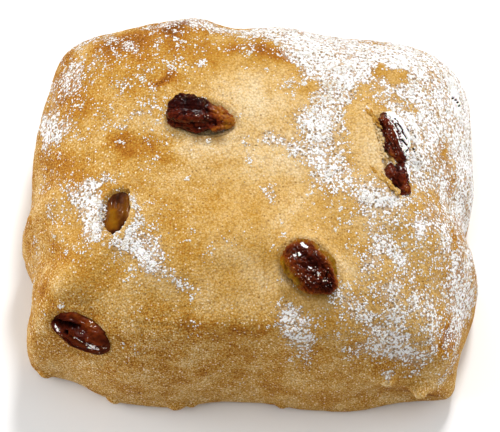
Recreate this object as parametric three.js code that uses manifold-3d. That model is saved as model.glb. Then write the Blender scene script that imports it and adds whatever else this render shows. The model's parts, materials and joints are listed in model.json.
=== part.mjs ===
// Raisin bun: a squarish bun of cut wheat dough, with seven raisins showing in its crust.
// Millimetres, +Z up. The bun rests on its flat sole at z = 0, its front faces -Y, and the
// origin is the middle of its outline, on the sole.

import * as THREE from "three";
import { mergeVertices } from "three/addons/utils/BufferGeometryUtils.js";
import Module from "manifold-3d";

const DEG = Math.PI / 180;

// ---------------------------------------------------------------- driving sizes

// The dough: a rounded square in plan, with steep walls and a gently domed crown.
const DOUGH = {
  halfWidth: 43.7,
  halfDepth: 37.6,
  squareness: 3.0, // 2 is an ellipse, more is squarer
  height: 38,
  bellyLevel: 4, // where the outline is widest
  footTuck: 0.035, // share by which the foot draws in under the belly
  crownFlatness: 4.0, // how far the flat of the crown reaches
  wallSteepness: 2.6, // how steeply the walls stand
};

// Where the plan swells past the rounded square (out > 0) or is drawn in (out < 0):
// bearing and spread in degrees round the crown from +X, out in mm.
const SWELLINGS = [
  { bearing: -31, spread: 22, out: 2.2 }, // right side, towards the front
  { bearing: -11, spread: 7.5, out: -2.9 }, // waist in the right side
  { bearing: 31, spread: 14, out: 3.4 }, // back right corner
  { bearing: 59, spread: 22, out: -5.0 }, // back, right of the middle
  { bearing: 98, spread: 20, out: -3.2 }, // back, left of the middle
  { bearing: 142, spread: 8, out: 2.4 }, // back left corner
  { bearing: 192, spread: 5, out: 1.6 }, // bulge in the left side
  { bearing: 216, spread: 6, out: 5.0 }, // front left corner, a rounded lobe
  { bearing: 233, spread: 22, out: 3.6 }, // front, left of the middle
  { bearing: 299, spread: 22, out: 3.7 }, // front, right of the middle
  { bearing: 315, spread: 7, out: 4.3 }, // front right corner, a pinched toe
];

// The front right corner slumps into a toe: there the crown is less flat.
const TOE = { bearing: 316, spread: 13, flatnessLost: 1.5 };

// Relief of the crust: ridges, bumps and hollows along a line from a to b, which fade
// over `reach` and rise by `rise`, all in mm.
const RELIEF = [
  { a: [-14, 26, 33], b: [-11, 29, 30], reach: 4.5, rise: 1.1 }, // knob on the back edge
  { a: [1, 22, 36], b: [5, 26, 33], reach: 4.5, rise: 1.0 }, // second knob beside it
  { a: [-36, -16, 29], b: [-31, -18, 33], reach: 3, rise: 0.4 }, // rolled edge, left side
  { a: [-41, -21, 20], b: [-34, -25, 31], reach: 4, rise: 0.7 }, // shoulder in front of it
  { a: [-7, -33, 30], b: [9, -33.5, 30], reach: 3.5, rise: 1.2 }, // edge of the front shoulder
  { a: [-17, -30, 33], b: [-15, -30, 33], reach: 5, rise: -1.2 }, // hollow left of that edge
  { a: [-4, -25, 36], b: [4, -25, 36], reach: 4, rise: -0.6 }, // dip behind that edge
  { a: [-3, -17, 37], b: [3, -17, 37], reach: 5, rise: 0.5 }, // swell behind the dip
  { a: [-9, -8, 38], b: [12, -8, 38], reach: 6, rise: -0.7 }, // shallow valley over the crown
  { a: [23, -38, 18], b: [32, -38.5, 13], reach: 2.6, rise: 1.2 }, // lip over the front wall
  { a: [32, -38.5, 13], b: [38, -38, 5], reach: 2.6, rise: 1.2 }, // its run down to the toe
  { a: [22, -39.5, 9], b: [33, -40, 4], reach: 4, rise: -0.9 }, // wall drawn in below the lip
  { a: [36, -34, 18], b: [38, -30, 17], reach: 3, rise: 0.9 }, // fold on the right shoulder
  { a: [8.6, -18.5, 37], b: [11.1, -19, 37], reach: 1.8, rise: 0.9 }, // peak by the centre raisin
  { a: [-24.9, -13.9, 36], b: [-24.9, -13.9, 36], reach: 5.5, rise: 1.0 }, // dome over a raisin
  { a: [21.1, 6, 37], b: [23.6, -9, 36.5], reach: 2.6, rise: 1.1 }, // torn lip at the right
];

// Small nubs of dough squeezed out along the foot and at the lip: bearing in degrees;
// level of the middle, radius and how far they stand proud of the wall, mm.
const NUBS = [
  { bearing: 219, level: 2.4, radius: 1.8, proud: 0.7 },
  { bearing: 234.5, level: 2.1, radius: 1.8, proud: 0.8 },
  { bearing: 249.5, level: 2.5, radius: 2.2, proud: 0.9 },
  { bearing: 253, level: 1.9, radius: 1.6, proud: 0.6 },
  { bearing: 278.5, level: 1.8, radius: 1.5, proud: 0.6 },
  { bearing: 303.5, level: 16.8, radius: 1.5, proud: 1.2 },
  { bearing: 309.5, level: 13.2, radius: 1.5, proud: 1.3 },
];

// How finely the solids are faceted.
const FACETS = {
  bunRound: 96,
  bunCrown: 20, // rings from crown to belly
  bunFoot: 3, // rings from belly to sole
  bunSole: 2, // rings across the sole
  raisinRound: 24,
  raisinAlong: 12,
  nub: 8,
  mouth: 12,
};

const GAP = 0.3; // clearance between a raisin and the dough round it
const RAISIN_LUMPS = 0.08; // share by which a raisin's girth varies in broad lumps

const CRUST = { color: 0xd2a566, roughness: 0.8 };
const DARK_RAISIN = { color: 0x3c1a14, roughness: 0.35 };
const RED_RAISIN = { color: 0x5e2415, roughness: 0.32 };
const AMBER_RAISIN = { color: 0x7d4e0c, roughness: 0.4 };

// The raisins. x and y give the place in plan, heading the direction of the long axis
// (degrees from +X), lift how far the middle stands above the dough. Blunt is 0.5 for an
// ellipsoid and less for fuller ends; taper thickens the end the heading points to. Folds
// are creases along the skin, twisted by `twist`; a waist pinches it at a share of its
// half length.
const RAISINS = [
  {
    name: "raisin_back_left",
    x: -9.7, y: 5.5, heading: -14,
    length: 12.9, width: 7.4, thickness: 5.8, lift: 1.0, blunt: 0.4, taper: -0.26,
    folds: 6, foldDepth: 0.26, twist: 1.0,
    waist: { at: 0.34, spread: 0.18, depth: 0.2 },
    finish: DARK_RAISIN,
  },
  {
    name: "raisin_left",
    x: -25.3, y: -13.3, heading: 78,
    length: 10.6, width: 7.0, thickness: 5.2, lift: -1.8, blunt: 0.45, taper: 0.1,
    folds: 4, foldDepth: 0.18, twist: 0.6,
    waist: { at: 0, spread: 0.3, depth: 0 },
    finish: AMBER_RAISIN,
  },
  {
    name: "raisin_right_upper",
    x: 26.6, y: 2.2, heading: -72,
    length: 10.4, width: 6.0, thickness: 5.2, lift: 0.2, blunt: 0.46, taper: -0.04,
    folds: 6, foldDepth: 0.26, twist: 0.8,
    waist: { at: 0.4, spread: 0.25, depth: 0.08 },
    finish: DARK_RAISIN,
  },
  {
    name: "raisin_right_lower",
    x: 27.2, y: -6.5, heading: -68,
    length: 6.9, width: 5.6, thickness: 4.4, lift: 0.1, blunt: 0.42, taper: -0.3,
    folds: 4, foldDepth: 0.22, twist: 1.2,
    waist: { at: 0.3, spread: 0.2, depth: 0.28 },
    finish: DARK_RAISIN,
  },
  {
    name: "raisin_centre",
    x: 10.7, y: -24.5, heading: -44,
    length: 11.9, width: 8.4, thickness: 6.2, lift: 1.1, blunt: 0.45, taper: -0.12,
    folds: 6, foldDepth: 0.24, twist: 0.7,
    waist: { at: 0.76, spread: 0.12, depth: 0.18 },
    finish: RED_RAISIN,
  },
  {
    name: "raisin_front_left",
    x: -31.9, y: -32.2, heading: -38,
    length: 12.3, width: 8.2, thickness: 5.6, lift: -0.2, blunt: 0.44, taper: 0.04,
    folds: 4, foldDepth: 0.24, twist: 1.3,
    waist: { at: 0, spread: 0.3, depth: 0 },
    finish: RED_RAISIN,
  },
  {
    name: "raisin_right_edge",
    x: 39.6, y: 14.7, heading: -50,
    length: 6.4, width: 3.8, thickness: 3.2, lift: -1.0, blunt: 0.45, taper: 0,
    folds: 4, foldDepth: 0.18, twist: 0.6,
    waist: { at: 0, spread: 0.3, depth: 0 },
    finish: DARK_RAISIN,
  },
];

// Openings in the crust over raisins that lie deeper than it: spindles cut at the surface.
const MOUTHS = [
  // the torn hole over the left raisin
  { x: -24.9, y: -13.9, heading: 80, length: 8.8, width: 4.0, depth: 5.2 },
  // the tear along the inner side of the two right raisins
  { x: 24.8, y: -1.6, heading: -77, length: 15, width: 2.8, depth: 4.0 },
];

// ---------------------------------------------------------------- form of the dough

const wrapDegrees = (angle) => ((((angle + 180) % 360) + 360) % 360) - 180;
const fade = (distance, reach) => Math.exp(-((distance / reach) ** 2));

/** Distance from the middle to the belly's outline, at a bearing in radians. */
function outlineRadius(bearing) {
  const { halfWidth, halfDepth, squareness: n } = DOUGH;
  const across = Math.abs(Math.cos(bearing) / halfWidth) ** n;
  const along = Math.abs(Math.sin(bearing) / halfDepth) ** n;
  const degrees = bearing / DEG;
  return SWELLINGS.reduce(
    (radius, s) => radius + s.out * fade(wrapDegrees(degrees - s.bearing), s.spread),
    (across + along) ** (-1 / n),
  );
}

/** The exponent that shapes the crown at a bearing in radians. */
function crownFlatness(bearing) {
  const off = wrapDegrees(bearing / DEG - TOE.bearing);
  return DOUGH.crownFlatness - TOE.flatnessLost * fade(off, TOE.spread);
}

/** Height of the smooth dough over the point (x, y) of the plan. */
function doughHeight(x, y) {
  const bearing = Math.atan2(y, x);
  const share = Math.min(Math.hypot(x, y) / outlineRadius(bearing), 1);
  const rise = (1 - share ** crownFlatness(bearing)) ** (1 / DOUGH.wallSteepness);
  return DOUGH.bellyLevel + (DOUGH.height - DOUGH.bellyLevel) * rise;
}

/** Share of the outline's radius, and level, at a turn from the crown (0) to the belly (1). */
function wallPoint(turn, flatness) {
  const angle = (turn * Math.PI) / 2;
  const share = Math.sin(angle) ** (2 / flatness);
  const rise = Math.cos(angle) ** (2 / DOUGH.wallSteepness);
  return [share, DOUGH.bellyLevel + (DOUGH.height - DOUGH.bellyLevel) * rise];
}

/** Share of the outline's radius that the wall keeps at a level, mm above the sole. */
function wallShare(level, flatness) {
  const { height, bellyLevel, footTuck, wallSteepness } = DOUGH;
  if (level < bellyLevel) return 1 - footTuck * (1 - level / bellyLevel) ** 2;
  const rise = (level - bellyLevel) / (height - bellyLevel);
  return (1 - rise ** wallSteepness) ** (1 / flatness);
}

/** The profile from crown to belly, as a curve that can be stepped in even lengths. */
class CrownProfile extends THREE.Curve {
  getPoint(turn) {
    const [share, level] = wallPoint(turn, DOUGH.crownFlatness);
    return new THREE.Vector3(share * DOUGH.halfWidth, 0, level);
  }
}

/** The rings of the dough's skin, from the crown's pole over the belly to the sole's. */
function doughRings() {
  const profile = new CrownProfile();
  profile.arcLengthDivisions = 2000;
  const rings = [];
  for (let i = 0; i <= FACETS.bunCrown; i++) {
    const turn = profile.getUtoTmapping(i / FACETS.bunCrown);
    rings.push((bearing) => wallPoint(turn, crownFlatness(bearing)));
  }
  const footShare = 1 - DOUGH.footTuck;
  for (let i = 1; i <= FACETS.bunFoot; i++) {
    const angle = (i / FACETS.bunFoot) * (Math.PI / 2);
    const share = 1 - DOUGH.footTuck * (1 - Math.cos(angle));
    const level = DOUGH.bellyLevel * (1 - Math.sin(angle));
    rings.push(() => [share, level]);
  }
  for (let i = 1; i <= FACETS.bunSole; i++) {
    const share = footShare * (1 - i / FACETS.bunSole);
    rings.push(() => [share, 0]);
  }
  return rings;
}

/** How far the relief lifts the crust at a point. */
function reliefAt(point) {
  const line = new THREE.Line3();
  const nearest = new THREE.Vector3();
  let lift = 0;
  for (const { a, b, reach, rise } of RELIEF) {
    line.set(new THREE.Vector3(...a), new THREE.Vector3(...b));
    line.closestPointToPoint(point, true, nearest);
    lift += rise * fade(nearest.distanceTo(point), reach);
  }
  return lift;
}

/** The dough's skin as a closed mesh, relief included. */
function doughGeometry() {
  const rings = doughRings();
  const skin = new THREE.SphereGeometry(1, FACETS.bunRound, rings.length - 1);
  const position = skin.attributes.position;
  const perRing = FACETS.bunRound + 1;
  for (let i = 0; i < position.count; i++) {
    const bearing = ((i % perRing) / FACETS.bunRound) * 2 * Math.PI;
    const [share, level] = rings[Math.floor(i / perRing)](bearing);
    const reach = share * outlineRadius(bearing);
    position.setXYZ(i, reach * Math.cos(bearing), reach * Math.sin(bearing), level);
  }
  const closed = weld(skin);
  closed.computeVertexNormals();
  const { position: at, normal } = closed.attributes;
  for (let i = 0; i < at.count; i++) {
    const point = new THREE.Vector3().fromBufferAttribute(at, i);
    if (point.z === 0) continue; // the sole stays flat
    const out = new THREE.Vector3().fromBufferAttribute(normal, i);
    point.addScaledVector(out, reliefAt(point));
    at.setXYZ(i, point.x, point.y, Math.max(point.z, 0));
  }
  return closed;
}

// ---------------------------------------------------------------- raisins and cutters

/** A frame on the dough at (x, y): X along the heading, Z out of the crust. */
function surfaceFrame({ x, y, heading }, lift) {
  const step = 0.5;
  const slopeX = (doughHeight(x + step, y) - doughHeight(x - step, y)) / (2 * step);
  const slopeY = (doughHeight(x, y + step) - doughHeight(x, y - step)) / (2 * step);
  const up = new THREE.Vector3(-slopeX, -slopeY, 1).normalize();
  const ahead = new THREE.Vector3(Math.cos(heading * DEG), Math.sin(heading * DEG), 0);
  const side = new THREE.Vector3().crossVectors(up, ahead).normalize();
  ahead.crossVectors(side, up);
  const middle = new THREE.Vector3(x, y, doughHeight(x, y)).addScaledVector(up, lift);
  return new THREE.Matrix4().makeBasis(ahead, side, up).setPosition(middle);
}

/** A raisin: a blunt spindle with lengthwise creases, grown by `swell` all round. */
function raisinGeometry(spec, swell = 0) {
  const { raisinRound, raisinAlong } = FACETS;
  const body = new THREE.SphereGeometry(1, raisinRound, raisinAlong).rotateZ(-Math.PI / 2);
  const at = body.attributes.position;
  for (let i = 0; i < at.count; i++) {
    const along = at.getX(i);
    const round = Math.atan2(at.getZ(i), at.getY(i));
    const circle = Math.sqrt(Math.max(1 - along * along, 0));
    const spindle = circle ** (2 * spec.blunt);
    const pinch = 1 - spec.waist.depth * fade(along - spec.waist.at, spec.waist.spread);
    const ridge = Math.abs(Math.cos(0.5 * spec.folds * round + spec.twist * along));
    const skin = 1 - spec.foldDepth * (1 - ridge);
    const lumps = 1 + RAISIN_LUMPS * Math.sin(2 * round + 5 * along + spec.folds);
    const girth = spindle * pinch * skin * lumps * (1 + spec.taper * along);
    at.setXYZ(i, along, girth * Math.cos(round), girth * Math.sin(round));
  }
  const half = (size) => size / 2 + swell;
  return body.scale(half(spec.length), half(spec.width), half(spec.thickness));
}

/** A nub of dough that stands a little proud of the wall. */
function nubGeometry({ bearing, level, radius, proud }) {
  const angle = bearing * DEG;
  const share = wallShare(level, crownFlatness(angle));
  const out = share * outlineRadius(angle) + proud - radius;
  const ball = new THREE.SphereGeometry(radius, FACETS.nub, FACETS.nub);
  return ball.translate(out * Math.cos(angle), out * Math.sin(angle), level);
}

/** A smooth spindle that opens the crust along a heading. */
function mouthGeometry({ length, width, depth }) {
  const spindle = new THREE.SphereGeometry(1, FACETS.mouth, FACETS.mouth);
  return spindle.rotateZ(-Math.PI / 2).scale(length / 2, width / 2, depth / 2);
}

// ---------------------------------------------------------------- joining and cutting

/** The same surface with its seams and poles welded, positions only. */
function weld(geometry) {
  const bare = geometry.clone();
  bare.deleteAttribute("normal");
  bare.deleteAttribute("uv");
  return mergeVertices(bare, 1e-4);
}

const wasm = await Module();
wasm.setup();

/** A closed geometry as a solid that can be joined and cut. */
function solidOf(geometry) {
  const { attributes, index } = weld(geometry);
  return new wasm.Manifold(
    new wasm.Mesh({
      numProp: 3,
      vertProperties: new Float32Array(attributes.position.array),
      triVerts: new Uint32Array(index.array),
    }),
  );
}

/** The surface of a solid as a geometry. */
function geometryOf(solid) {
  const mesh = solid.getMesh();
  const geometry = new THREE.BufferGeometry();
  geometry.setAttribute("position", new THREE.BufferAttribute(mesh.vertProperties, 3));
  geometry.setIndex(new THREE.BufferAttribute(mesh.triVerts, 1));
  geometry.computeVertexNormals();
  return geometry;
}

/** A named mesh with its own material. */
function node(name, geometry, { color, roughness }) {
  const material = new THREE.MeshStandardMaterial({ color, roughness, metalness: 0 });
  const mesh = new THREE.Mesh(geometry, material);
  mesh.name = name;
  return mesh;
}

/** The bun: dough with its nubs, cut by the raisins' pockets and the torn mouths. */
function bunGeometry() {
  let bun = solidOf(doughGeometry());
  for (const nub of NUBS) bun = bun.add(solidOf(nubGeometry(nub)));
  for (const raisin of RAISINS) {
    const pocket = raisinGeometry(raisin, GAP);
    bun = bun.subtract(solidOf(pocket.applyMatrix4(surfaceFrame(raisin, raisin.lift))));
  }
  for (const mouth of MOUTHS) {
    const cutter = mouthGeometry(mouth).applyMatrix4(surfaceFrame(mouth, 0));
    bun = bun.subtract(solidOf(cutter));
  }
  return geometryOf(bun);
}

// ---------------------------------------------------------------- the part

const raisinBun = new THREE.Group();
const bun = node("bun", bunGeometry(), CRUST);
raisinBun.add(bun);
for (const raisin of RAISINS) {
  const mesh = node(raisin.name, raisinGeometry(raisin), raisin.finish);
  mesh.applyMatrix4(surfaceFrame(raisin, raisin.lift));
  raisinBun.add(mesh);
}

// The middle of the dough's outline comes to the origin.
const middle = new THREE.Box3().setFromObject(bun).getCenter(new THREE.Vector3());
raisinBun.position.set(-middle.x, -middle.y, 0);

export default raisinBun;
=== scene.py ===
"""A raisin bun: a squarish, floured bun of cut wheat dough with raisins baked into its crust.

The crust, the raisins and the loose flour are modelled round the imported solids, in the same
frame: metres, +Z up, the front towards -Y. Forms are worked out in millimetres round the
dough's own middle, and each finished mesh is then moved to its place on the solid.
"""

import itertools
import json
import logging
import math
from dataclasses import dataclass
from enum import Enum
from functools import partial

import bpy
import numpy as np
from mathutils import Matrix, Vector
from mathutils.kdtree import KDTree

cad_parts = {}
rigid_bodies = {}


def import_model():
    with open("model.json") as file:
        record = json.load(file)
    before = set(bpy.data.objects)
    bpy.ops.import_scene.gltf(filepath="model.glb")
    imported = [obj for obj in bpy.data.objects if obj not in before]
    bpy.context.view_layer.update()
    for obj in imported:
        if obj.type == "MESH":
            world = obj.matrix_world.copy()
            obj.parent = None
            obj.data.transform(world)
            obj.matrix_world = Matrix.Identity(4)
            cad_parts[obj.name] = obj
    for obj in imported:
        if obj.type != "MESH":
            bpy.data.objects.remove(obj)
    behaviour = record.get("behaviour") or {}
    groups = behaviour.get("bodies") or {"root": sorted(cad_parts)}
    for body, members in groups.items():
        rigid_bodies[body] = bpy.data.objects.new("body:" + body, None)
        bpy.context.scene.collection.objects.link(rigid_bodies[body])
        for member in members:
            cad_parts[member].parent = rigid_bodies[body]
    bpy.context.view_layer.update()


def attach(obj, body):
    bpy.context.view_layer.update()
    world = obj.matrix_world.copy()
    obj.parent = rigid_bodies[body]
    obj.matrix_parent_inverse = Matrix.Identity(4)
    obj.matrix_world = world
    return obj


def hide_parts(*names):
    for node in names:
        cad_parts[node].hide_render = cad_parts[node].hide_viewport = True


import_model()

log = logging.getLogger("raisin_bun")

MM = 0.001  # metres in a millimetre
BODY = "root"
SEED = 20


class Slot(Enum):
    """The record's material slots."""

    CRUST = "crust"
    RAISIN_DARK = "raisin_dark"
    RAISIN_RED = "raisin_red"
    RAISIN_AMBER = "raisin_amber"
    FLOUR = "flour"


# ---------------- small helpers


def per_mm(size: float) -> float:
    """The texture scale, in 1/m, whose pattern repeats about every `size` millimetres."""
    return 1.0 / (size * MM)


def linear(hex_colour: str) -> tuple[float, float, float, float]:
    """Turns an sRGB hex colour into the linear values that sockets take.

    Args:
        hex_colour: six hex digits, such as "d2a566".

    Returns:
        Linear red, green and blue, and an alpha of 1.
    """
    shares = [int(hex_colour[i : i + 2], 16) / 255 for i in (0, 2, 4)]
    return tuple(s / 12.92 if s <= 0.04045 else ((s + 0.055) / 1.055) ** 2.4 for s in shares) + (1.0,)


def add_node(
    tree: bpy.types.NodeTree,
    kind: str,
    settings: dict | None = None,
    links: dict | None = None,
    out: str | int = 0,
) -> bpy.types.NodeSocket:
    """Adds a shader node with its settings and the links that feed it.

    Args:
        tree: the node tree to add to.
        kind: the node's type name, without the "ShaderNode" that all begin with.
        settings: property or input names (or input numbers) with their values; "stops" are
            a colour ramp's places and hex colours.
        links: input names or numbers with the output sockets that feed them.
        out: the name or number of the wanted output.

    Returns:
        That output of the new node.
    """
    node = tree.nodes.new("ShaderNode" + kind)
    for key, value in (settings or {}).items():
        if key == "stops":
            ramp = node.color_ramp.elements
            while len(ramp) < len(value):
                ramp.new(1.0)
            for element, (place, colour) in zip(ramp, value):
                element.position = place
                element.color = linear(colour)
        elif isinstance(key, str) and hasattr(node, key):
            setattr(node, key, value)
        else:
            node.inputs[key].default_value = value
    for key, socket in (links or {}).items():
        tree.links.new(socket, node.inputs[key])
    return node.outputs[out]


def new_material(name: str, plain: dict) -> tuple[bpy.types.Material, bpy.types.NodeTree, bpy.types.Node]:
    """Starts a material.

    Args:
        name: its name.
        plain: the shader's sockets that are the same all over, with their values.

    Returns:
        The material, its node tree and its shader.
    """
    made = bpy.data.materials.new(name)
    made.use_nodes = True
    shader = made.node_tree.nodes["Principled BSDF"]
    for socket, value in plain.items():
        shader.inputs[socket].default_value = value
    return made, made.node_tree, shader


def fade(distance: np.ndarray, reach: float, power: float = 2.0) -> np.ndarray:
    """Falls from 1 at no distance towards 0 past `reach`."""
    return np.exp(-((np.abs(distance) / reach) ** power))


def smooth_step(value: np.ndarray, low: float, high: float) -> np.ndarray:
    """Rises smoothly from 0 at `low` to 1 at `high`."""
    share = np.clip((value - low) / (high - low), 0, 1)
    return share * share * (3 - 2 * share)


def chance_at(at: np.ndarray, salt: int, rounds: tuple[tuple[int, int], ...], last: int) -> np.ndarray:
    """Three chance numbers for each cell of a grid, the same each time.

    Args:
        at: the cells' whole numbers, one row each.
        salt: chooses the pattern.
        rounds: by how much each round of mixing shifts and multiplies.
        last: the shift of the last round.

    Returns:
        Three whole numbers a cell, each from 0 to 1023.
    """
    mixed = (at[:, 0] * 73856093) ^ (at[:, 1] * 19349663) ^ (at[:, 2] * 83492791)
    mixed = (mixed ^ (salt * 2654435761)) & 0xFFFFFFFF
    for shift, factor in rounds:
        mixed = ((mixed ^ (mixed >> shift)) * factor) & 0xFFFFFFFF
    mixed ^= mixed >> last
    return np.stack([mixed & 1023, (mixed >> 10) & 1023, (mixed >> 20) & 1023], 1)


def noise(points: np.ndarray, cell: float, octaves: int = 1, seed: int = 0) -> np.ndarray:
    """Smooth gradient noise, about -1 to 1.

    Args:
        points: places in mm, one row each.
        cell: the size of the coarsest cell, mm.
        octaves: how many layers, each half as large and half as strong as the last.
        seed: chooses the pattern.

    Returns:
        One value a point.
    """
    total = np.zeros(len(points))
    rounds = ((15, 2246822519), (13, 3266489917))
    for octave in range(octaves):
        scaled = points / cell * 2.0**octave + 17.3 * octave
        corner = np.floor(scaled).astype(np.int64)
        inside = scaled - corner
        blend = inside**3 * (inside * (inside * 6 - 15) + 10)
        layer = np.zeros(len(points))
        for step in itertools.product((0, 1), repeat=3):
            slope = chance_at(corner + step, seed + octave * 7 + 1, rounds, 16) / 511.5 - 1
            weight = np.prod(np.where(step, blend, 1 - blend), axis=1)
            layer += weight * np.sum(slope * (inside - step), axis=1)
        total += layer * 1.5 / 2.0**octave
    return total


def pebbles(points: np.ndarray, cell: float, seed: int) -> np.ndarray:
    """Small domes packed side by side.

    Args:
        points: places in mm, one row each.
        cell: how far apart the domes stand, mm.
        seed: chooses the pattern.

    Returns:
        1 on top of each dome, falling to about 0 between them.
    """
    scaled = points / cell
    corner = np.floor(scaled).astype(np.int64)
    nearest = np.full(len(points), 9.0)
    for step in itertools.product((-1, 0, 1), repeat=3):
        at = corner + step
        place = at + chance_at(at, seed + 1, ((15, 2246822519),), 13) / 1023
        nearest = np.minimum(nearest, np.sum((scaled - place) ** 2, axis=1))
    return np.clip(1 - nearest * 1.4, 0, 1)


@dataclass(frozen=True)
class Stroke:
    """A soft-edged line on the crust, in mm round the dough's middle.

    Each of a ridge, a hollow, a patch of flour and a browned or pale place is one.
    """

    a: tuple[float, float, float]
    b: tuple[float, float, float]
    reach: float
    strength: float

    def distance(self, points: np.ndarray) -> np.ndarray:
        """How far points are from the line.

        Args:
            points: places in mm, one row each.

        Returns:
            One distance a point, mm.
        """
        start = np.array(self.a)
        way = np.array(self.b) - start
        length_squared = max(float(way @ way), 1e-9)
        share = np.clip((points - start) @ way / length_squared, 0, 1)
        return np.linalg.norm(points - start - share[:, None] * way, axis=1)

    def at(self, points: np.ndarray, power: float = 2.0) -> np.ndarray:
        """The stroke's strength at each point, fading out past its reach."""
        return self.strength * fade(self.distance(points), self.reach, power)


def strokes(*rows: tuple[float, ...]) -> tuple[Stroke, ...]:
    """Strokes from rows of numbers.

    Args:
        rows: for each, its two ends, x, y, z on the dough or x, y on a raisin, then its reach
            and its strength.

    Returns:
        The strokes, in the rows' order.
    """
    made = []
    for *ends, reach, strength in rows:
        size = len(ends) // 2
        a, b = ((*end, 0.0)[:3] for end in (ends[:size], ends[size:]))
        made.append(Stroke(a, b, reach, strength))
    return tuple(made)


# ---------------- form of the dough


@dataclass(frozen=True)
class Swelling:
    """A stretch of the outline that stands out (out > 0) or draws in, in degrees and mm."""

    bearing: float
    spread: float
    out: float


@dataclass(frozen=True)
class DoughForm:
    """The dough's form: a rounded square in plan, steep walls and a gently domed crown (mm)."""

    half_width: float = 43.7
    half_depth: float = 37.6
    squareness: float = 3.0
    height: float = 38.0
    belly_level: float = 4.0
    foot_tuck: float = 0.035
    crown_flatness: float = 4.0
    wall_steepness: float = 2.6
    toe: Swelling = Swelling(316, 13, -1.5)
    swellings: tuple[Swelling, ...] = (
        Swelling(-31, 22, 2.2), Swelling(-11, 7.5, -2.9), Swelling(31, 14, 3.4),
        Swelling(59, 22, -5.0), Swelling(98, 20, -3.2), Swelling(142, 8, 2.4),
        Swelling(192, 5, 1.6), Swelling(216, 6, 5.0), Swelling(233, 22, 3.6),
        Swelling(299, 22, 3.7), Swelling(315, 7, 4.3),
    )

    def outline_radius(self, bearing: np.ndarray) -> np.ndarray:
        """The outline of the belly.

        Args:
            bearing: directions from the middle, radians.

        Returns:
            The outline's distance from the middle in each, mm.
        """
        n = self.squareness
        across = np.abs(np.cos(bearing) / self.half_width) ** n
        along = np.abs(np.sin(bearing) / self.half_depth) ** n
        radius = (across + along) ** (-1 / n)
        for s in self.swellings:
            off = (np.degrees(bearing) - s.bearing + 180) % 360 - 180
            radius = radius + s.out * fade(off, s.spread)
        return radius

    def flatness(self, bearing: np.ndarray) -> np.ndarray:
        """The exponent that shapes the crown at each bearing: less over the slumped toe."""
        off = (np.degrees(bearing) - self.toe.bearing + 180) % 360 - 180
        return self.crown_flatness + self.toe.out * fade(off, self.toe.spread)

    def level(self, x: np.ndarray, y: np.ndarray) -> np.ndarray:
        """The height of the smooth dough.

        Args:
            x: places in plan, mm.
            y: places in plan, mm.

        Returns:
            The level over each place, mm.
        """
        bearing = np.arctan2(y, x)
        share = np.minimum(np.hypot(x, y) / self.outline_radius(bearing), 1)
        rise = (1 - share ** self.flatness(bearing)) ** (1 / self.wall_steepness)
        return self.belly_level + (self.height - self.belly_level) * rise

    def wall_share(self, level: float, bearing: float) -> float:
        """How far the wall reaches.

        Args:
            level: the height over the sole, mm.
            bearing: the direction from the middle, radians.

        Returns:
            The share of the outline's radius that the wall keeps there.
        """
        if level < self.belly_level:
            return 1 - self.foot_tuck * (1 - level / self.belly_level) ** 2
        rise = (level - self.belly_level) / (self.height - self.belly_level)
        return (1 - rise**self.wall_steepness) ** (1 / self.flatness(bearing))

    def meridian(self, turn: np.ndarray, flatness: np.ndarray | float) -> tuple[np.ndarray, np.ndarray]:
        """The profile from the crown's pole (turn 0) over the belly (1) to the foot (2).

        Args:
            turn: places along the profile.
            flatness: the crown's exponent at each place.

        Returns:
            The share of the outline's radius and the level at each place.
        """
        crown = np.clip(turn, 0, 1) * math.pi / 2
        foot = np.clip(turn - 1, 0, 1) * math.pi / 2
        share = np.sin(crown) ** (2 / flatness) - self.foot_tuck * (1 - np.cos(foot))
        rise = np.clip(np.cos(crown), 0, 1) ** (2 / self.wall_steepness)
        crown_level = self.belly_level + (self.height - self.belly_level) * rise
        return share, np.where(turn > 1, self.belly_level * (1 - np.sin(foot)), crown_level)

    def even_turns(self, share_of_length: np.ndarray) -> np.ndarray:
        """Divides the profile by length.

        Args:
            share_of_length: shares of the profile's length, from the pole.

        Returns:
            The turn at each.
        """
        turn = np.linspace(0, 2, 4001)
        share, level = self.meridian(turn, self.crown_flatness)
        steps = np.hypot(np.diff(share * self.half_width), np.diff(level))
        length = np.concatenate([[0], np.cumsum(steps)])
        return np.interp(share_of_length, length / length[-1], turn)

    def surface_frame(
        self, x: float, y: float, heading: float, lift: float = 0.0
    ) -> tuple[np.ndarray, np.ndarray]:
        """A frame on the dough at (x, y).

        Args:
            x: place in plan, mm.
            y: place in plan, mm.
            heading: direction of the first axis, degrees from +X.
            lift: how far the frame's middle stands off the dough, mm.

        Returns:
            The middle, and the three axes as rows: ahead, to the side, out of the crust.
        """
        step = 0.5
        px = np.array([x + step, x - step, x, x, x])
        py = np.array([y, y, y + step, y - step, y])
        z = self.level(px, py)
        up = np.array([z[1] - z[0], z[3] - z[2], 2 * step])
        up /= np.linalg.norm(up)
        turn = math.radians(heading)
        side = np.cross(up, [math.cos(turn), math.sin(turn), 0])
        side /= np.linalg.norm(side)
        return np.array([x, y, z[4]]) + up * lift, np.array([np.cross(side, up), side, up])


# ---------------- sizes of the raisins


@dataclass(frozen=True)
class SkinRelief:
    """How a raisin's skin is wrinkled: cell sizes and depths in mm."""

    lump_cell: float = 3.0
    lump_depth: float = 0.35
    ridge_cell: float = 1.8
    ridge_depth: float = 0.2
    pebble_cell: float = 0.6
    pebble_depth: float = 0.06
    # painted light and shade: the tops of the pebbles are painted lighter and their hollows darker
    pebble_painted_light: float = 0.1  # how much lighter the tops of the pebbles are


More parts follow.
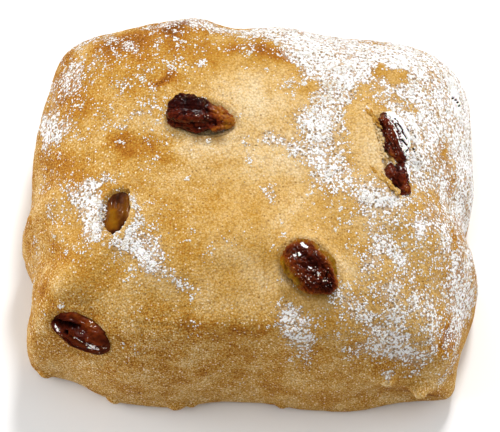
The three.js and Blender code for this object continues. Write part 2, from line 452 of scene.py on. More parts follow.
@dataclass(frozen=True)
class Raisin:
    """One raisin: its place on the dough, its size in mm and what marks it.

    Creases, glowing places, dark places, flour and painted highlights are strokes on its upper side, in mm
    round its own middle: x ahead along it, y to its left.
    """

    name: str
    slot: Slot
    x: float
    y: float
    heading: float
    length: float
    width: float
    thickness: float
    lift: float
    blunt: float
    taper: float
    folds: int
    fold_depth: float
    twist: float
    waist_at: float = 0.0
    waist_spread: float = 0.3
    waist_depth: float = 0.0
    relief: SkinRelief = SkinRelief()
    rim: float = 0.25  # how far light comes through the rim
    collar: float = 0.35
    creases: tuple[Stroke, ...] = ()
    glowing: tuple[Stroke, ...] = ()
    dark: tuple[Stroke, ...] = ()
    floured: tuple[Stroke, ...] = ()
    # where pale highlight dots are painted into the skin
    painted_highlight_strokes: tuple[Stroke, ...] = ()

    def half(self) -> np.ndarray:
        """Half its length, width and thickness."""
        return np.array([self.length, self.width, self.thickness]) / 2

    def placed(self, form: DoughForm, points: np.ndarray) -> np.ndarray:
        """Points given in the raisin's own axes, moved to its place on the dough."""
        middle, axes = form.surface_frame(self.x, self.y, self.heading, self.lift)
        return points @ axes + middle


@dataclass(frozen=True)
class Mouth:
    """An opening in the crust: a spindle's length and width, and how deep it is torn (mm)."""

    x: float
    y: float
    heading: float
    length: float
    width: float
    depth: float
    lip: float


RAISINS = (
    Raisin(
        "raisin_back_left",
        Slot.RAISIN_DARK,
        x=-9.7, y=5.5, heading=-14, length=12.9, width=7.4, thickness=5.8,
        lift=1.0, blunt=0.4, taper=-0.26, folds=6, fold_depth=0.26, twist=1.0,
        waist_at=0.34, waist_spread=0.18, waist_depth=0.2,
        relief=SkinRelief(2.6, 0.4, 1.2, 0.12, 0.58, 0.2, 0.2),
        rim=0.04,
        creases=strokes(
            (0.8, 2.4, 1.3, 0.4, 0.4, 0.5), (1.3, 0.4, 3.4, -1.6, 0.35, 0.35),
            (-2.6, -1.4, -2.4, -1.3, 0.5, 0.6),
        ),
        glowing=strokes(
            (3.1, 1.2, 5.9, 0, 1.9, 0.36), (-2, -2.9, 3.3, -2.3, 1, 0.06), (2.6, -3, 5.2, -1.6, 0.5, 0.22),
        ),
        dark=strokes((-4.8, 1.2, -1.2, 1.6, 2.2, 0.24), (1.6, -1.4, 4.2, -1.4, 0.5, 0.06)),
        painted_highlight_strokes=strokes(
            (-3.6, 1.8, 0.8, 1.4, 1.4, 0.3), (-1, -1.2, 1.4, -1, 1, 0.55), (2.8, 1.6, 5.6, 0, 1.5, 0.4),
            (-3, -1.6, -1, -2, 0.8, 0.4),
        ),
    ),
    Raisin(
        "raisin_left",
        Slot.RAISIN_AMBER,
        x=-25.3, y=-13.3, heading=78, length=10.6, width=7.0, thickness=5.2,
        lift=-1.8, blunt=0.45, taper=0.1, folds=4, fold_depth=0.18, twist=0.6,
        relief=SkinRelief(3.4, 0.15, 1.6, 0.08, 0.7, 0.03),
        rim=0.0, collar=0.0,
        creases=strokes((3.4, 1, 0.4, 0.5, 0.25, 0.22), (3.4, 0.1, 0.6, -0.4, 0.25, 0.2)),
        glowing=strokes((-0.4, 0.5, -2.7, -0.2, 1.5, 0.5), (3.2, -1.6, 0, -2.2, 0.8, 0.3)),
        dark=strokes(
            (4.8, 0.9, 3, 0.2, 1.3, 0.2), (-4, -0.5, -4.8, -0.8, 0.8, 0.5), (-2.4, -1.6, -4, -1.6, 0.5, 0.3),
        ),
    ),
    Raisin(
        "raisin_right_upper",
        Slot.RAISIN_DARK,
        x=26.6, y=2.2, heading=-72, length=10.4, width=6.0, thickness=5.2,
        lift=0.2, blunt=0.46, taper=-0.04, folds=6, fold_depth=0.26, twist=0.8,
        waist_at=0.4, waist_spread=0.25, waist_depth=0.08,
        relief=SkinRelief(2.2, 0.25, 1.1, 0.16, 0.6, 0.12, 0.15),
        rim=0.0, collar=0.1,
        creases=strokes(
            (-2.9, -2, 2.6, -2.4, 0.3, 0.4), (-1.8, -1.6, 3.2, -1.2, 0.26, 0.4),
            (-3, 0.4, -1.9, 0.8, 0.17, 0.4), (-1.7, 0.5, -0.2, 1, 0.17, 0.45),
            (0.1, 0.8, 1.5, 1.5, 0.17, 0.45), (-0.6, 1.7, 0.6, 2.2, 0.16, 0.4),
            (1.6, 0.6, 3, 1.4, 0.17, 0.45), (1.9, 1.9, 3, 2.2, 0.16, 0.45), (3, 2, 3.8, 0.8, 0.17, 0.45),
        ),
        glowing=strokes((3.4, -1.9, 4.6, -1.2, 0.8, 0.18), (-3.6, -1.8, 3, -1.9, 1.3, 0.12)),
        floured=strokes(
            (-4.6, 1.2, -2.4, 1.6, 1.9, 0.95), (-2.4, 2.3, 3.4, 2.2, 2.2, 0.95),
            (-3.2, -0.9, -2.2, -0.5, 0.2, 0.75), (-2, -0.5, -0.6, -0.1, 0.2, 0.75),
            (-0.6, -0.7, 0.8, -0.2, 0.2, 0.7), (0.8, -0.3, 2.2, 0.1, 0.2, 0.7),
        ),
        painted_highlight_strokes=strokes((-4, -1.4, 3.6, -1.6, 1.2, 0.5), (-2.4, -1, -0.6, -1, 0.5, 0.6)),
    ),
    Raisin(
        "raisin_right_lower",
        Slot.RAISIN_DARK,
        x=27.2, y=-6.5, heading=-68, length=6.9, width=5.6, thickness=4.4,
        lift=0.1, blunt=0.42, taper=-0.3, folds=4, fold_depth=0.22, twist=1.2,
        waist_at=0.3, waist_spread=0.2, waist_depth=0.28,
        relief=SkinRelief(1.6, 0.3, 1.0, 0.14, 0.6, 0.12, 0.15),
        rim=0.0, collar=0.1,
        creases=strokes((-3.2, 0.1, 0.2, -0.9, 0.4, 0.7), (1.2, -1.6, 1.9, 0.9, 0.35, 0.4)),
        glowing=strokes((-1.8, -1.6, -0.8, -1.4, 1, 0.14), (0.6, 0.4, 3, 0.2, 0.9, 0.18)),
        floured=strokes((-2, 2.2, 0.6, 2.4, 0.6, 0.7), (-2.3, 0.3, -1.6, 0.5, 0.3, 0.5)),
        painted_highlight_strokes=strokes((-2, 1.2, -0.4, 1.6, 0.9, 0.55), (-1.6, -1.6, 2.4, 0.2, 1, 0.4)),
    ),
    Raisin(
        "raisin_centre",
        Slot.RAISIN_RED,
        x=10.7, y=-24.5, heading=-44, length=11.9, width=8.4, thickness=6.2,
        lift=1.1, blunt=0.45, taper=-0.12, folds=6, fold_depth=0.2, twist=0.7,
        waist_at=0.76, waist_spread=0.12, waist_depth=0.18,
        relief=SkinRelief(2.2, 0.36, 1.0, 0.3, 0.52, 0.12, 0.16),
        rim=0.3,
        creases=strokes(
            (-4.2, 0.6, -0.8, 0.7, 0.4, 0.3), (-2.4, -1.3, 1.9, -0.7, 0.35, 0.3),
            (-1.4, 2.3, 2.1, 1.3, 0.35, 0.25), (2.9, 1.4, 3.5, -1.3, 0.35, 0.6),
            (-3.1, -0.3, -2.6, 1.2, 0.2, -0.22), (-2.6, 1.2, -1.1, 1.35, 0.2, -0.22),
            (-2.1, -0.9, -0.6, 0.6, 0.2, -0.22),
        ),
        glowing=strokes(
            (-1.4, 3.8, 3.6, 2.9, 1, 0.32), (-4.4, -2.6, -0.4, -3.7, 1.1, 0.26),
            (-5.4, 0.6, -4.4, 2.8, 0.7, 0.2),
        ),
        dark=strokes(
            (-3.4, 0.9, 0.2, 0.6, 1.2, 0.2), (4.2, -0.2, 5.2, -0.7, 1, 0.35),
            (-5.6, -0.6, -5.2, 0.4, 0.9, 0.15),
        ),
        floured=strokes(
            (-4.3, 2.2, -3.3, 2, 0.4, 1), (-3.5, 0.3, -3.1, 0.1, 0.3, 0.9),
            (-3.9, -0.6, -3.7, -0.5, 0.22, 0.8), (-0.4, -0.4, 0.1, -0.2, 0.2, 0.7),
            (1.4, 0.1, 1.8, -0.1, 0.2, 0.7),
        ),
        painted_highlight_strokes=strokes(
            (-0.6, -0.6, 3.6, 0, 1, 0.8), (-1, -2.4, 2.6, -2, 0.9, 0.72), (1.2, 1.4, 3, 1.6, 0.7, 0.5),
            (-4.2, -1.8, -3.4, 2.2, 0.8, 0.55), (-1.6, 2.6, 1.4, 2.6, 0.6, 0.46),
        ),
    ),
    Raisin(
        "raisin_front_left",
        Slot.RAISIN_RED,
        x=-31.9, y=-32.2, heading=-38, length=12.3, width=8.2, thickness=5.6,
        lift=-0.2, blunt=0.44, taper=0.04, folds=4, fold_depth=0.12, twist=1.3,
        relief=SkinRelief(3.2, 0.34, 1.4, 0.16, 0.7, 0.08, 0.06),
        rim=0.04, collar=0.25,
        creases=strokes(
            (-5.3, 0.3, -4.4, 1.2, 0.34, 0.5), (-4.4, 1.2, -2.1, 2.1, 0.4, 0.75),
            (-2.1, 2.1, -0.4, 2.6, 0.34, 0.5), (-0.4, 2.6, 2.4, 2.6, 0.3, 0.25),
            (-0.6, 1.4, 2.1, 1.6, 0.3, -0.4), (2.1, 1.6, 4.6, 1.1, 0.3, -0.4),
            (-2.4, 3.2, 0.2, 3.4, 0.3, 0.2), (-2.1, 0.4, -2.1, 0.5, 0.36, 1.2),
            (-2.1, 0.45, -2.1, 0.45, 0.85, -0.3), (-4.6, -0.3, -2.8, -0.9, 0.3, -0.3),
            (-1, 0.4, 2.4, 0.3, 0.3, 0.3),
        ),
        dark=strokes(
            (-4.2, 1.3, -1.6, 2.3, 0.8, 0.26), (-1.6, 2.3, 1.6, 1.2, 0.7, 0.16),
            (-2.1, 0.45, -2.1, 0.45, 0.4, 0.5), (-5.6, 0.4, -5, 1.6, 1.2, 0.14),
            (-3.4, -1.6, 1, -2.4, 1.2, 0.12),
        ),
        glowing=strokes((-1.6, 3.8, 2.4, 3.7, 1.2, 0.16), (0.4, -0.4, 3.4, -0.8, 0.7, 0.14)),
        floured=strokes(
            (-4.7, 0, -3.8, -0.4, 0.24, 0.66), (-0.2, 0.7, 0.6, 0.6, 0.2, 0.64),
            (1, 0.6, 2.2, 0.4, 0.24, 0.66), (2.4, 0.5, 3.6, 0.1, 0.34, 0.64),
            (2.8, -0.3, 4.4, -0.4, 0.3, 0.64),
        ),
        painted_highlight_strokes=strokes(
            (-0.4, 0.5, 2, 0.6, 0.36, 1.1), (2, 0.5, 5.2, 0.1, 0.7, 1), (-4.8, -0.1, -3, -0.6, 0.4, 1),
            (-2.6, 0.9, -1.6, 1, 0.3, 0.7), (0.4, 2.2, 0.8, 2.2, 0.3, 0.9), (0.6, -1.2, 4.6, -1, 0.8, 0.6),
        ),
    ),
    Raisin(
        "raisin_right_edge",
        Slot.RAISIN_DARK,
        x=39.6, y=14.7, heading=-50, length=6.4, width=3.8, thickness=3.2,
        lift=-1.0, blunt=0.45, taper=0.0, folds=4, fold_depth=0.18, twist=0.6,
        relief=SkinRelief(1.8, 0.2, 1.2, 0.15, 0.7, 0.05),
        rim=0.0, collar=0.0,
        creases=strokes(
            (-0.95, -1.7, -0.95, -1.6, 0.2, 0.6), (-0.55, -1.3, -0.55, -1.25, 0.2, 0.6),
            (-0.05, -0.9, -0.05, -0.85, 0.22, 0.6), (0.5, -0.65, 0.5, -0.6, 0.2, 0.6),
            (1.2, -0.1, 1.2, 0, 0.22, 0.6), (1.65, 0.45, 1.65, 0.55, 0.2, 0.6),
            (0.9, -1.6, 0.95, -1.55, 0.18, 0.6),
        ),
        floured=strokes((-3, 0, 3, 0, 3, 1)),
    ),
)

MOUTHS = (
    # the torn hole over the left raisin
    Mouth(x=-24.7, y=-13.7, heading=76, length=8.8, width=3.6, depth=3.6, lip=0.3),
    # the tear along the two right raisins
    Mouth(x=24.8, y=-1.6, heading=-77, length=15.0, width=2.4, depth=0.9, lip=0.3),
)


# ---------------- finishes


@dataclass(frozen=True)
class CrustFinish:
    """Baked wheat crust, thinly floured: matt, granular, tan with browner and paler places.

    Its colour follows how long the dough browned, from cream through tan and gold to a deep
    orange brown, and the flour lies on it as white grains that gather into patches.
    """

    cream: str = "e7d1a8"
    tan: str = "d3ad6c"
    gold: str = "ba8a34"
    brown: str = "a5641a"
    deep: str = "74400f"
    pale_grain: str = "f9ead0"
    # the darker gaps of the skin's grain, and the painted shadow round the flour grains
    dark_grain_and_shadow: str = "84561c"
    # the amber of the painted shadow below the raisins, and of a syrupy stain
    syrup: str = "7a5512"
    speck: str = "6c4214"
    flour: str = "eeecea"
    pore: str = "86683e"
    crack: str = "33251c"
    grain_mm: float = 0.3
    cell_mm: float = 0.45  # the skin's own grain is finer, about 0.2 mm, which wouldn't show
    sift_mm: float = 0.45  # flour is about 0.1 mm fine, also drawn coarser so that it shows
    clump_mm: float = 0.75
    pore_mm: float = 0.85
    speck_mm: float = 1.5
    drift_mm: float = 4.5
    blotch_mm: float = 5.0

    def material(self) -> bpy.types.Material:
        """Builds the crust's material.

        Returns:
            The material, which reads the bake, flour, coarse, slit and the syrupy stain with the painted
            raisin shadow, stored on a piece.
        """
        made, tree, shader = new_material("baked_wheat_crust", {
            "Roughness": 0.75,
            "IOR": 1.45,
            "Specular IOR Level": 0.12,
            "Subsurface Weight": 0.1,
            "Subsurface Radius": (1.0, 0.55, 0.2),
            "Subsurface Scale": 1.0 * MM,
        })
        add = partial(add_node, tree)
        place = {"Vector": add("TexCoord", out="Object")}
        bake, flour, coarse, syrup, slit = (
            add("Attribute", {"attribute_name": name}, out="Fac")
            for name in ("bake", "flour", "coarse", "syrup", "slit")
        )
        sizes = ((self.blotch_mm, 5.0), (self.drift_mm, 2.0), (self.clump_mm, 2.0), (self.grain_mm, 2.0))
        blotch, drift, clump, grain = (
            add("TexNoise", {"Scale": per_mm(size), "Detail": detail, "Roughness": 0.6}, place, "Fac")
            for size, detail in sizes
        )
        cells, dots, sift = (
            add("TexVoronoi", {"Scale": per_mm(size)}, place)
            for size in (self.cell_mm, self.speck_mm, self.sift_mm)
        )

        # how far each place is browned: painted, then broken up by blotches and grain
        blotched = add("Math", {"operation": "MULTIPLY_ADD", 1: 0.8}, {0: blotch, 2: bake})
        centred = add("Math", {"operation": "SUBTRACT", 1: 0.5}, {0: grain})
        mottled = add("Math", {"operation": "MULTIPLY_ADD"}, {0: centred, 1: coarse, 2: blotched})
        browned = add("Math", {"operation": "SUBTRACT", 1: 0.4}, {0: mottled})
        stops = [(0.0, self.cream), (0.3, self.tan), (0.55, self.gold), (0.8, self.brown), (1.0, self.deep)]
        colour = add("ValToRGB", {"stops": stops}, {"Fac": browned})

        # the skin's fine grains: darker gaps between them, here and there a pale one or a dark speck
        gap = add("MapRange", {"From Min": 0.45, "From Max": 0.8, "To Max": 0.4}, {"Value": cells})
        chance = add("SeparateColor", {}, {"Color": cells.node.outputs["Color"]}, "Red")
        core = add("Math", {"operation": "SUBTRACT"}, {0: chance, 1: cells})
        lit = add("MapRange", {"From Min": 0.52, "From Max": 0.68, "To Max": 0.9}, {"Value": core})
        rise = {"From Min": 0.85, "From Max": 1.3, "To Min": 0.12, "To Max": 0.85}
        sown = add("MapRange", rise, {"Value": coarse})
        pale = add("Math", {"operation": "MULTIPLY"}, {0: lit, 1: sown})
        dot = add("MapRange", {"From Min": 0.16, "From Max": 0.08, "To Max": 0.65}, {"Value": dots})

        # flour: a grain shows where the noise passes a level that falls as the dusting thickens
        luck = add("SeparateColor", {}, {"Color": sift.node.outputs["Color"]}, "Red")
        lucky = add("Math", {"operation": "MULTIPLY_ADD", 1: 0.35, 2: 0.74}, {0: luck})
        grains = add("Math", {"operation": "MULTIPLY_ADD", 1: -0.8}, {0: sift, 2: lucky})
        clumped = add("Mix", {0: 0.5}, {2: grains, 3: clump})
        both = add("Mix", {0: 0.12}, {2: clumped, 3: drift})
        level = add("MapRange", {"To Min": 0.74, "To Max": 0.395}, {"Value": flour})
        above = add("Math", {"operation": "SUBTRACT"}, {0: both, 1: level})
        edge = {"interpolation_type": "SMOOTHSTEP", "From Min": -0.015, "From Max": 0.03}
        cover = add("MapRange", edge, {"Value": above})
        veil = add("MapRange", {"From Min": 0.45, "To Max": 0.4}, {"Value": flour})
        floured = add("Math", {"operation": "MAXIMUM"}, {0: cover, 1: veil})
        # painted shadow: the crust is painted darker in a ring round each flour grain, as if the grain shaded
        # it
        near = add("MapRange", {"From Min": -0.08, "From Max": -0.01, "To Max": 0.75}, {"Value": above})
        some = add("MapRange", {"From Min": 0.12, "From Max": 0.4}, {"Value": flour})
        shade = add("Math", {"operation": "MULTIPLY"}, {0: near, 1: some})

        # pores of the crust that stay open under the flour, and dark slits
        pores = add("TexVoronoi", {"Scale": per_mm(self.pore_mm), "Randomness": 0.8}, place)
        pore = add("MapRange", {"From Min": 0.36, "From Max": 0.24, "To Max": 0.85}, {"Value": pores})
        thick = add("MapRange", {"From Min": 0.3, "From Max": 0.6}, {"Value": flour})
        shown = add("Math", {"operation": "MULTIPLY"}, {0: pore, 1: thick})
        split = add("MapRange", {"From Min": 0.5, "From Max": 0.75}, {"Value": slit})

        # each colour lies over the ones before it, as far as its share says
        for over, share in (
            (self.dark_grain_and_shadow, gap),
            (self.pale_grain, pale),
            # amber painted shadow below the raisins, and a syrupy stain
            (self.syrup, syrup),
            (self.speck, dot),
            # painted shadow round the flour grains
            (self.dark_grain_and_shadow, shade),
            (self.flour, floured),
            (self.pore, shown),
            (self.crack, split),
        ):
            colour = add("Mix", {"data_type": "RGBA", 7: linear(over)}, {0: share, 6: colour}, 2)
        rounded = add("Math", {"operation": "SUBTRACT"}, {0: cover, 1: cells})
        bump = add("Bump", {"Strength": 0.8, "Distance": 0.15 * MM}, {"Height": rounded})
        tree.links.new(colour, shader.inputs["Base Color"])
        tree.links.new(bump, shader.inputs["Normal"])
        return made


@dataclass(frozen=True)
class RaisinFinish:
    """Baked raisin skin: sticky and glossy, with shade painted nearly black into its creases and small
    painted highlights.

    Where the flesh is thin, light comes through it and it turns red, then amber.
    """

    name: str
    # the darkest colour: the shade painted into the creases and the darkest places of the skin
    crease: str
    skin: str
    red: str
    amber: str
    rim: str
    gloss: float = 0.45
    flour: str = "f6f4f2"
    # the colour of the painted highlights, pale dots painted into the skin
    painted_highlight: str = "ecd9cb"
    mottle_mm: float = 1.6
    crinkle_mm: float = 0.4
    # how far apart the painted highlight dots lie
    highlight_dot_mm: float = 0.45

    def material(self) -> bpy.types.Material:
        """Builds the material of one kind of raisin skin.

        Returns:
            The material, which reads the tone, the dust and the painted highlights stored on a piece.
        """
        made, tree, shader = new_material(self.name, {
            "IOR": 1.4,
            "Specular IOR Level": 0.15,
            "Coat Weight": self.gloss,
            "Coat Roughness": 0.08,
            "Coat IOR": 1.4,
            "Subsurface Weight": 0.25,
            "Subsurface Radius": (1.0, 0.3, 0.1),
            "Subsurface Scale": 1.2 * MM,
        })
        add = partial(add_node, tree)
        place = {"Vector": add("TexCoord", out="Object")}
        tone, dust, sparkle = (
            add("Attribute", {"attribute_name": name}, out="Fac") for name in ("tone", "dust", "sparkle")
        )
        mottle, fine = (
            add("TexNoise", {"Scale": per_mm(size), "Detail": detail, "Roughness": rough}, place, "Fac")
            for size, detail, rough in ((self.mottle_mm, 3.0, 0.65), (self.crinkle_mm, 2.0, 0.6))
        )

        # the skin's tone, mottled, from the painted shade of the creases to the light through the rim
        shifted = add("Math", {"operation": "MULTIPLY_ADD", 1: 0.4}, {0: mottle, 2: tone})
        level = add("Math", {"operation": "SUBTRACT", 1: 0.2}, {0: shifted})
        stops = [(0.0, self.crease), (0.35, self.skin), (0.6, self.red), (0.8, self.amber), (1.0, self.rim)]
        colour = add("ValToRGB", {"stops": stops}, {"Fac": level})

        # painted highlights: small pale dots painted into the skin's colour where it would glint, thickest
        # where strokes ask for them; then flour
        highlight_dots = add("TexVoronoi", {"Scale": per_mm(self.highlight_dot_mm)}, place)
        luck = add("SeparateColor", {}, {"Color": highlight_dots.node.outputs["Color"]}, "Red")
        lucky = add("Math", {"operation": "MULTIPLY_ADD", 1: 0.7}, {0: luck, 2: sparkle})
        bright = add("Math", {"operation": "MULTIPLY_ADD", 1: -2.0}, {0: highlight_dots, 2: lucky})
        painted_highlight_mask = add("MapRange", {"From Min": 0.5, "From Max": 0.8, "To Max": 0.95}, {"Value": bright})
        grains = add("Math", {"operation": "ADD"}, {0: fine, 1: dust})
        cover = add("MapRange", {"From Min": 0.95, "From Max": 1.1}, {"Value": grains})
        for over, share in ((self.painted_highlight, painted_highlight_mask), (self.flour, cover)):
            colour = add("Mix", {"data_type": "RGBA", 7: linear(over)}, {0: share, 6: colour}, 2)
        rough = add("MapRange", {"To Min": 0.42, "To Max": 0.95}, {"Value": cover})
        bump = add("Bump", {"Strength": 0.8, "Distance": 0.1 * MM}, {"Height": fine})
        for socket, source in (("Base Color", colour), ("Roughness", rough), ("Normal", bump)):
            tree.links.new(source, shader.inputs[socket])
        return made


RAISIN_FINISHES = {
    slot: RaisinFinish(f"raisin_skin_{kind}", *colours, gloss=gloss)
    for slot, kind, gloss, colours in (
        (Slot.RAISIN_DARK, "dark", 0.5, ("100404", "2e0a07", "601f0a", "8a4a0f", "a06a18")),
        (Slot.RAISIN_RED, "red", 0.5, ("140302", "421105", "6a2907", "845008", "84600f")),
        (Slot.RAISIN_AMBER, "amber", 0.2, ("1a0a04", "451e06", "683808", "7e4c06", "88580a")),
    )
}


@dataclass(frozen=True)
class FlourFinish:
    """Wheat flour in loose grains: white, dry and quite matt."""

    white: str = "e6e4e1"
    cream: str = "dcd4c6"
    tint_mm: float = 1.2

    def material(self) -> bpy.types.Material:
        """Builds the flour's material.

        Returns:
            The material.
        """
        made, tree, shader = new_material("wheat_flour", {"Roughness": 0.95, "Specular IOR Level": 0.2})
        place = {"Vector": add_node(tree, "TexCoord", out="Object")}
        tint = add_node(tree, "TexNoise", {"Scale": per_mm(self.tint_mm), "Detail": 2.0}, place, "Fac")
        colour = add_node(tree, "ValToRGB", {"stops": [(0.35, self.cream), (0.5, self.white)]}, {"Fac": tint})
        tree.links.new(colour, shader.inputs["Base Color"])
        return made


@dataclass(frozen=True)
class FloorFinish:
    """Pale matt board under the bun."""

    white: str = "f7f7f7"

    def material(self) -> bpy.types.Material:
        """Builds the floor's material: one even white."""
        even = {"Base Color": linear(self.white), "Roughness": 0.9, "Specular IOR Level": 0.1}
        return new_material("pale_board", even)[0]


# ---------------- mesh helpers


def cube_grid(name: str, steps: tuple[int, ...]) -> bpy.types.Object:
    """Adds a cube of two units and subdivides its faces in edit mode.

    Args:
        name: the object's name.
        steps: how many parts each round of subdividing makes of an edge.

    Returns:
        The new object, in object mode.
    """
    bpy.ops.object.select_all(action="DESELECT")
    bpy.ops.mesh.primitive_cube_add(size=2.0)
    made = bpy.context.active_object
    made.name = name
    made.data.name = name
    bpy.ops.object.mode_set(mode="EDIT")
    bpy.ops.mesh.select_all(action="SELECT")
    for parts in steps:
        bpy.ops.mesh.subdivide(number_cuts=parts - 1)
    bpy.ops.object.mode_set(mode="OBJECT")
    return made


def points_of(piece: bpy.types.Object) -> np.ndarray:
    """Reads a mesh's vertices.

    Args:
        piece: the object.

    Returns:
        Their places, one row each.
    """
    flat = np.zeros(len(piece.data.vertices) * 3)
    piece.data.vertices.foreach_get("co", flat)
    return flat.reshape(-1, 3)


def normals_of(piece: bpy.types.Object) -> np.ndarray:
    """Reads the directions in which a mesh's vertices face.

    Args:
        piece: the object.

    Returns:
        Their normals, one row each.
    """
    flat = np.zeros(len(piece.data.vertices) * 3, np.float32)
    piece.data.vertex_normals.foreach_get("vector", flat)
    return flat.reshape(-1, 3).astype(float)


def move_points(piece: bpy.types.Object, points: np.ndarray) -> None:
    """Gives a mesh's vertices new places."""
    piece.data.vertices.foreach_set("co", points.ravel())
    piece.data.update()


def ball_pattern(subdivisions: int) -> tuple[np.ndarray, np.ndarray]:
    """A unit ball to copy.

    Args:
        subdivisions: how finely it is faceted, from 1 for 20 faces.

    Returns:
        Its points and its triangles' corners.
    """
    bpy.ops.object.select_all(action="DESELECT")
    bpy.ops.mesh.primitive_ico_sphere_add(subdivisions=subdivisions, radius=1.0)
    pattern = bpy.context.active_object
    points = points_of(pattern)
    faces = np.array([list(p.vertices) for p in pattern.data.polygons])
    bpy.data.objects.remove(pattern)
    return points, faces


def mesh_piece(name: str, points: np.ndarray, triangles: np.ndarray) -> bpy.types.Object:
    """Makes an object of triangles.

    Args:
        name: the object's name.
        points: its vertices, metres.
        triangles: the numbers of each triangle's corners.

    Returns:
        The new object.
    """
    mesh = bpy.data.meshes.new(name)
    mesh.from_pydata(points.tolist(), [], triangles.tolist())
    mesh.update()
    piece = bpy.data.objects.new(name, mesh)
    bpy.context.scene.collection.objects.link(piece)
    return piece


def edit_chosen(piece: bpy.types.Object, kind: str, chosen: np.ndarray) -> None:
    """Goes into a mesh's edit mode with only some of it selected.

    Args:
        piece: the object.
        kind: what is chosen, VERT or FACE.
        chosen: for each vertex or face, whether it is.
    """
    bpy.ops.object.select_all(action="DESELECT")
    piece.select_set(True)
    bpy.context.view_layer.objects.active = piece
    bpy.ops.object.mode_set(mode="EDIT")
    bpy.ops.mesh.select_mode(type=kind)
    bpy.ops.mesh.select_all(action="DESELECT")
    bpy.ops.object.mode_set(mode="OBJECT")
    parts = piece.data.vertices if kind == "VERT" else piece.data.polygons
    parts.foreach_set("select", chosen)
    bpy.ops.object.mode_set(mode="EDIT")


def paint(piece: bpy.types.Object, name: str, values: np.ndarray) -> None:
    """Stores one value for each vertex under a name that materials read."""
    layer = piece.data.attributes.new(name, "FLOAT", "POINT")
    layer.data.foreach_set("value", values.astype(np.float32))


def finish_piece(piece: bpy.types.Object, material: bpy.types.Material) -> None:
    """Shades a piece smooth, dresses it and hangs it on the body.

    Args:
        piece: the finished mesh.
        material: its finish.
    """
    piece.data.shade_smooth()
    piece.data.materials.clear()
    piece.data.materials.append(material)
    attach(piece, BODY)
    log.info("%s: %d triangles", piece.name, sum(len(p.vertices) - 2 for p in piece.data.polygons))


# ---------------- the crust


